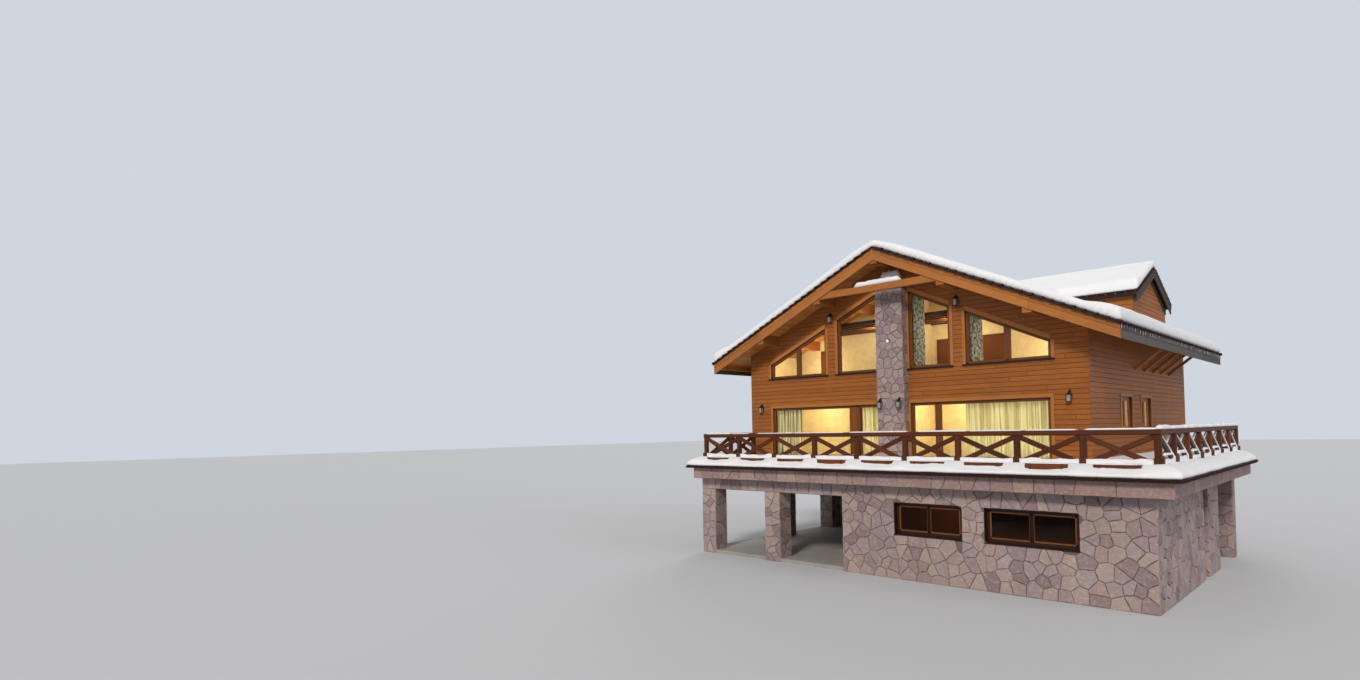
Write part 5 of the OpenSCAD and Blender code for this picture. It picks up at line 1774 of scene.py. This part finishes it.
def add_spot(iron, lens, x, back, z, wide):
    """A small spot lamp: a tilted can on a short arm."""
    iron.bar((x, back, z), (x, back - 0.05, z), 0.05, 0.05, X, 0.5, 0.01)
    start, end = Vector((x, back - 0.03, z + 0.02)), Vector((x, back - 0.13, z - 0.035))
    iron.bar(start, end, wide * 0.75, wide * 0.75, X, 0.5, wide * 0.2)
    run = (end - start).normalized()
    lens.bar(end - run * 0.03, end + run * 0.006, wide * 0.80, wide * 0.80, X, 0.5, wide * 0.22)


def build_lanterns():
    iron, panes, lens = Mesh(), Mesh(), Mesh()
    for low, high in loose_boxes("wall_lanterns"):
        wide, x = high.x - low.x, (low.x + high.x) / 2
        if high.z - low.z < SPOT_H:
            add_spot(iron, lens, x, high.y, (low.z + high.z) / 2, wide)
        else:
            add_lantern(iron, panes, x, low.y + wide / 2, high.y, low.z)
    iron.piece("lantern_iron", "iron", "iron", ["wall_lanterns"])
    panes.piece("lantern_panes", "lamp glass", "iron")
    lens.piece("spot_lens", "spot glass", "iron")


build_lanterns()


# Floor, light and surroundings

def build_stage():
    size = 220
    corners = [(-size, -size, 0), (size, -size, 0), (size, size, 0), (-size, size, 0)]
    mesh = bpy.data.meshes.new("studio_floor")
    mesh.from_pydata(corners, [], [(0, 1, 2, 3)])
    mesh.materials.append(finish(new_material("studio floor")[0], 0.9, (0.56, 0.58, 0.62)))
    add_object("studio_floor", mesh)


def build_world():
    """Warm soft light all round, and a pale background where a camera, mirror or glass ray leaves."""
    world = bpy.data.worlds.new("studio")
    bpy.context.scene.world = world
    world.use_nodes = True
    tree = world.node_tree
    tree.nodes.clear()
    light = add_node(tree, "ShaderNodeBackground", {"Color": (1.0, 0.97, 0.94), "Strength": 0.42})
    sight = add_node(tree, "ShaderNodeBackground", {"Color": (0.62, 0.67, 0.74), "Strength": 1.0})
    path = add_node(tree, "ShaderNodeLightPath").outputs
    seen = math_node(tree, "MAXIMUM", path["Is Glossy Ray"], path["Is Transmission Ray"])
    seen = math_node(tree, "MAXIMUM", path["Is Camera Ray"], seen)
    both = add_node(tree, "ShaderNodeMixShader", {0: seen, 1: light.outputs[0], 2: sight.outputs[0]})
    add_node(tree, "ShaderNodeOutputWorld", {"Surface": both.outputs[0]})


def add_light(name, kind, power, color):
    data = bpy.data.lights.new(name, kind)
    data.energy = power
    data.color = color
    return add_object(name, data)


def add_sun(name, azimuth, elevation, strength, color, softness):
    """A soft sun; azimuth 0 shines along +Y, 90 along -X."""
    sun = add_light(name, "SUN", strength, color)
    sun.data.angle = math.radians(softness)
    a, e = math.radians(azimuth), math.radians(elevation)
    direction = Vector((-math.sin(a) * math.cos(e), math.cos(a) * math.cos(e), -math.sin(e)))
    sun.rotation_euler = direction.to_track_quat("-Z", "Y").to_euler()


def add_lamp(name, place, power, color):
    """A soft lamp in a room, itself out of sight."""
    lamp = add_light(name, "POINT", power, color)
    lamp.data.shadow_soft_size = 0.3
    lamp.location = place
    lamp.visible_camera = False
    lamp.visible_glossy = False
    lamp.visible_transmission = False


def add_room_lights():
    for name, middle_z, side_z in (("main_lamp", 2.3, 2.3), ("upper_lamp", 5.4, 4.1)):
        for x in (-5.0, -1.7, 1.7, 5.0):
            z = DECK_Z + (middle_z if abs(x) < 3 else side_z)
            add_lamp(name, (x, 1.7, z), 150, (1.0, 0.80, 0.50))
    for place, power in (((2.2, 0.6, 1.5), 12), ((2.6, 5.0, 1.5), 45)):
        add_lamp("ground_lamp", place, power, (1.0, 0.30, 0.12))


build_stage()
build_world()
add_sun("key", 18, 32, 2.1, (1.0, 0.93, 0.83), 12)
add_sun("fill", 100, 26, 0.40, (0.86, 0.92, 1.0), 30)
add_sun("back_fill", 205, 32, 0.5, (0.92, 0.95, 1.0), 30)
add_room_lights()
bpy.context.scene.view_settings.view_transform = "Standard"
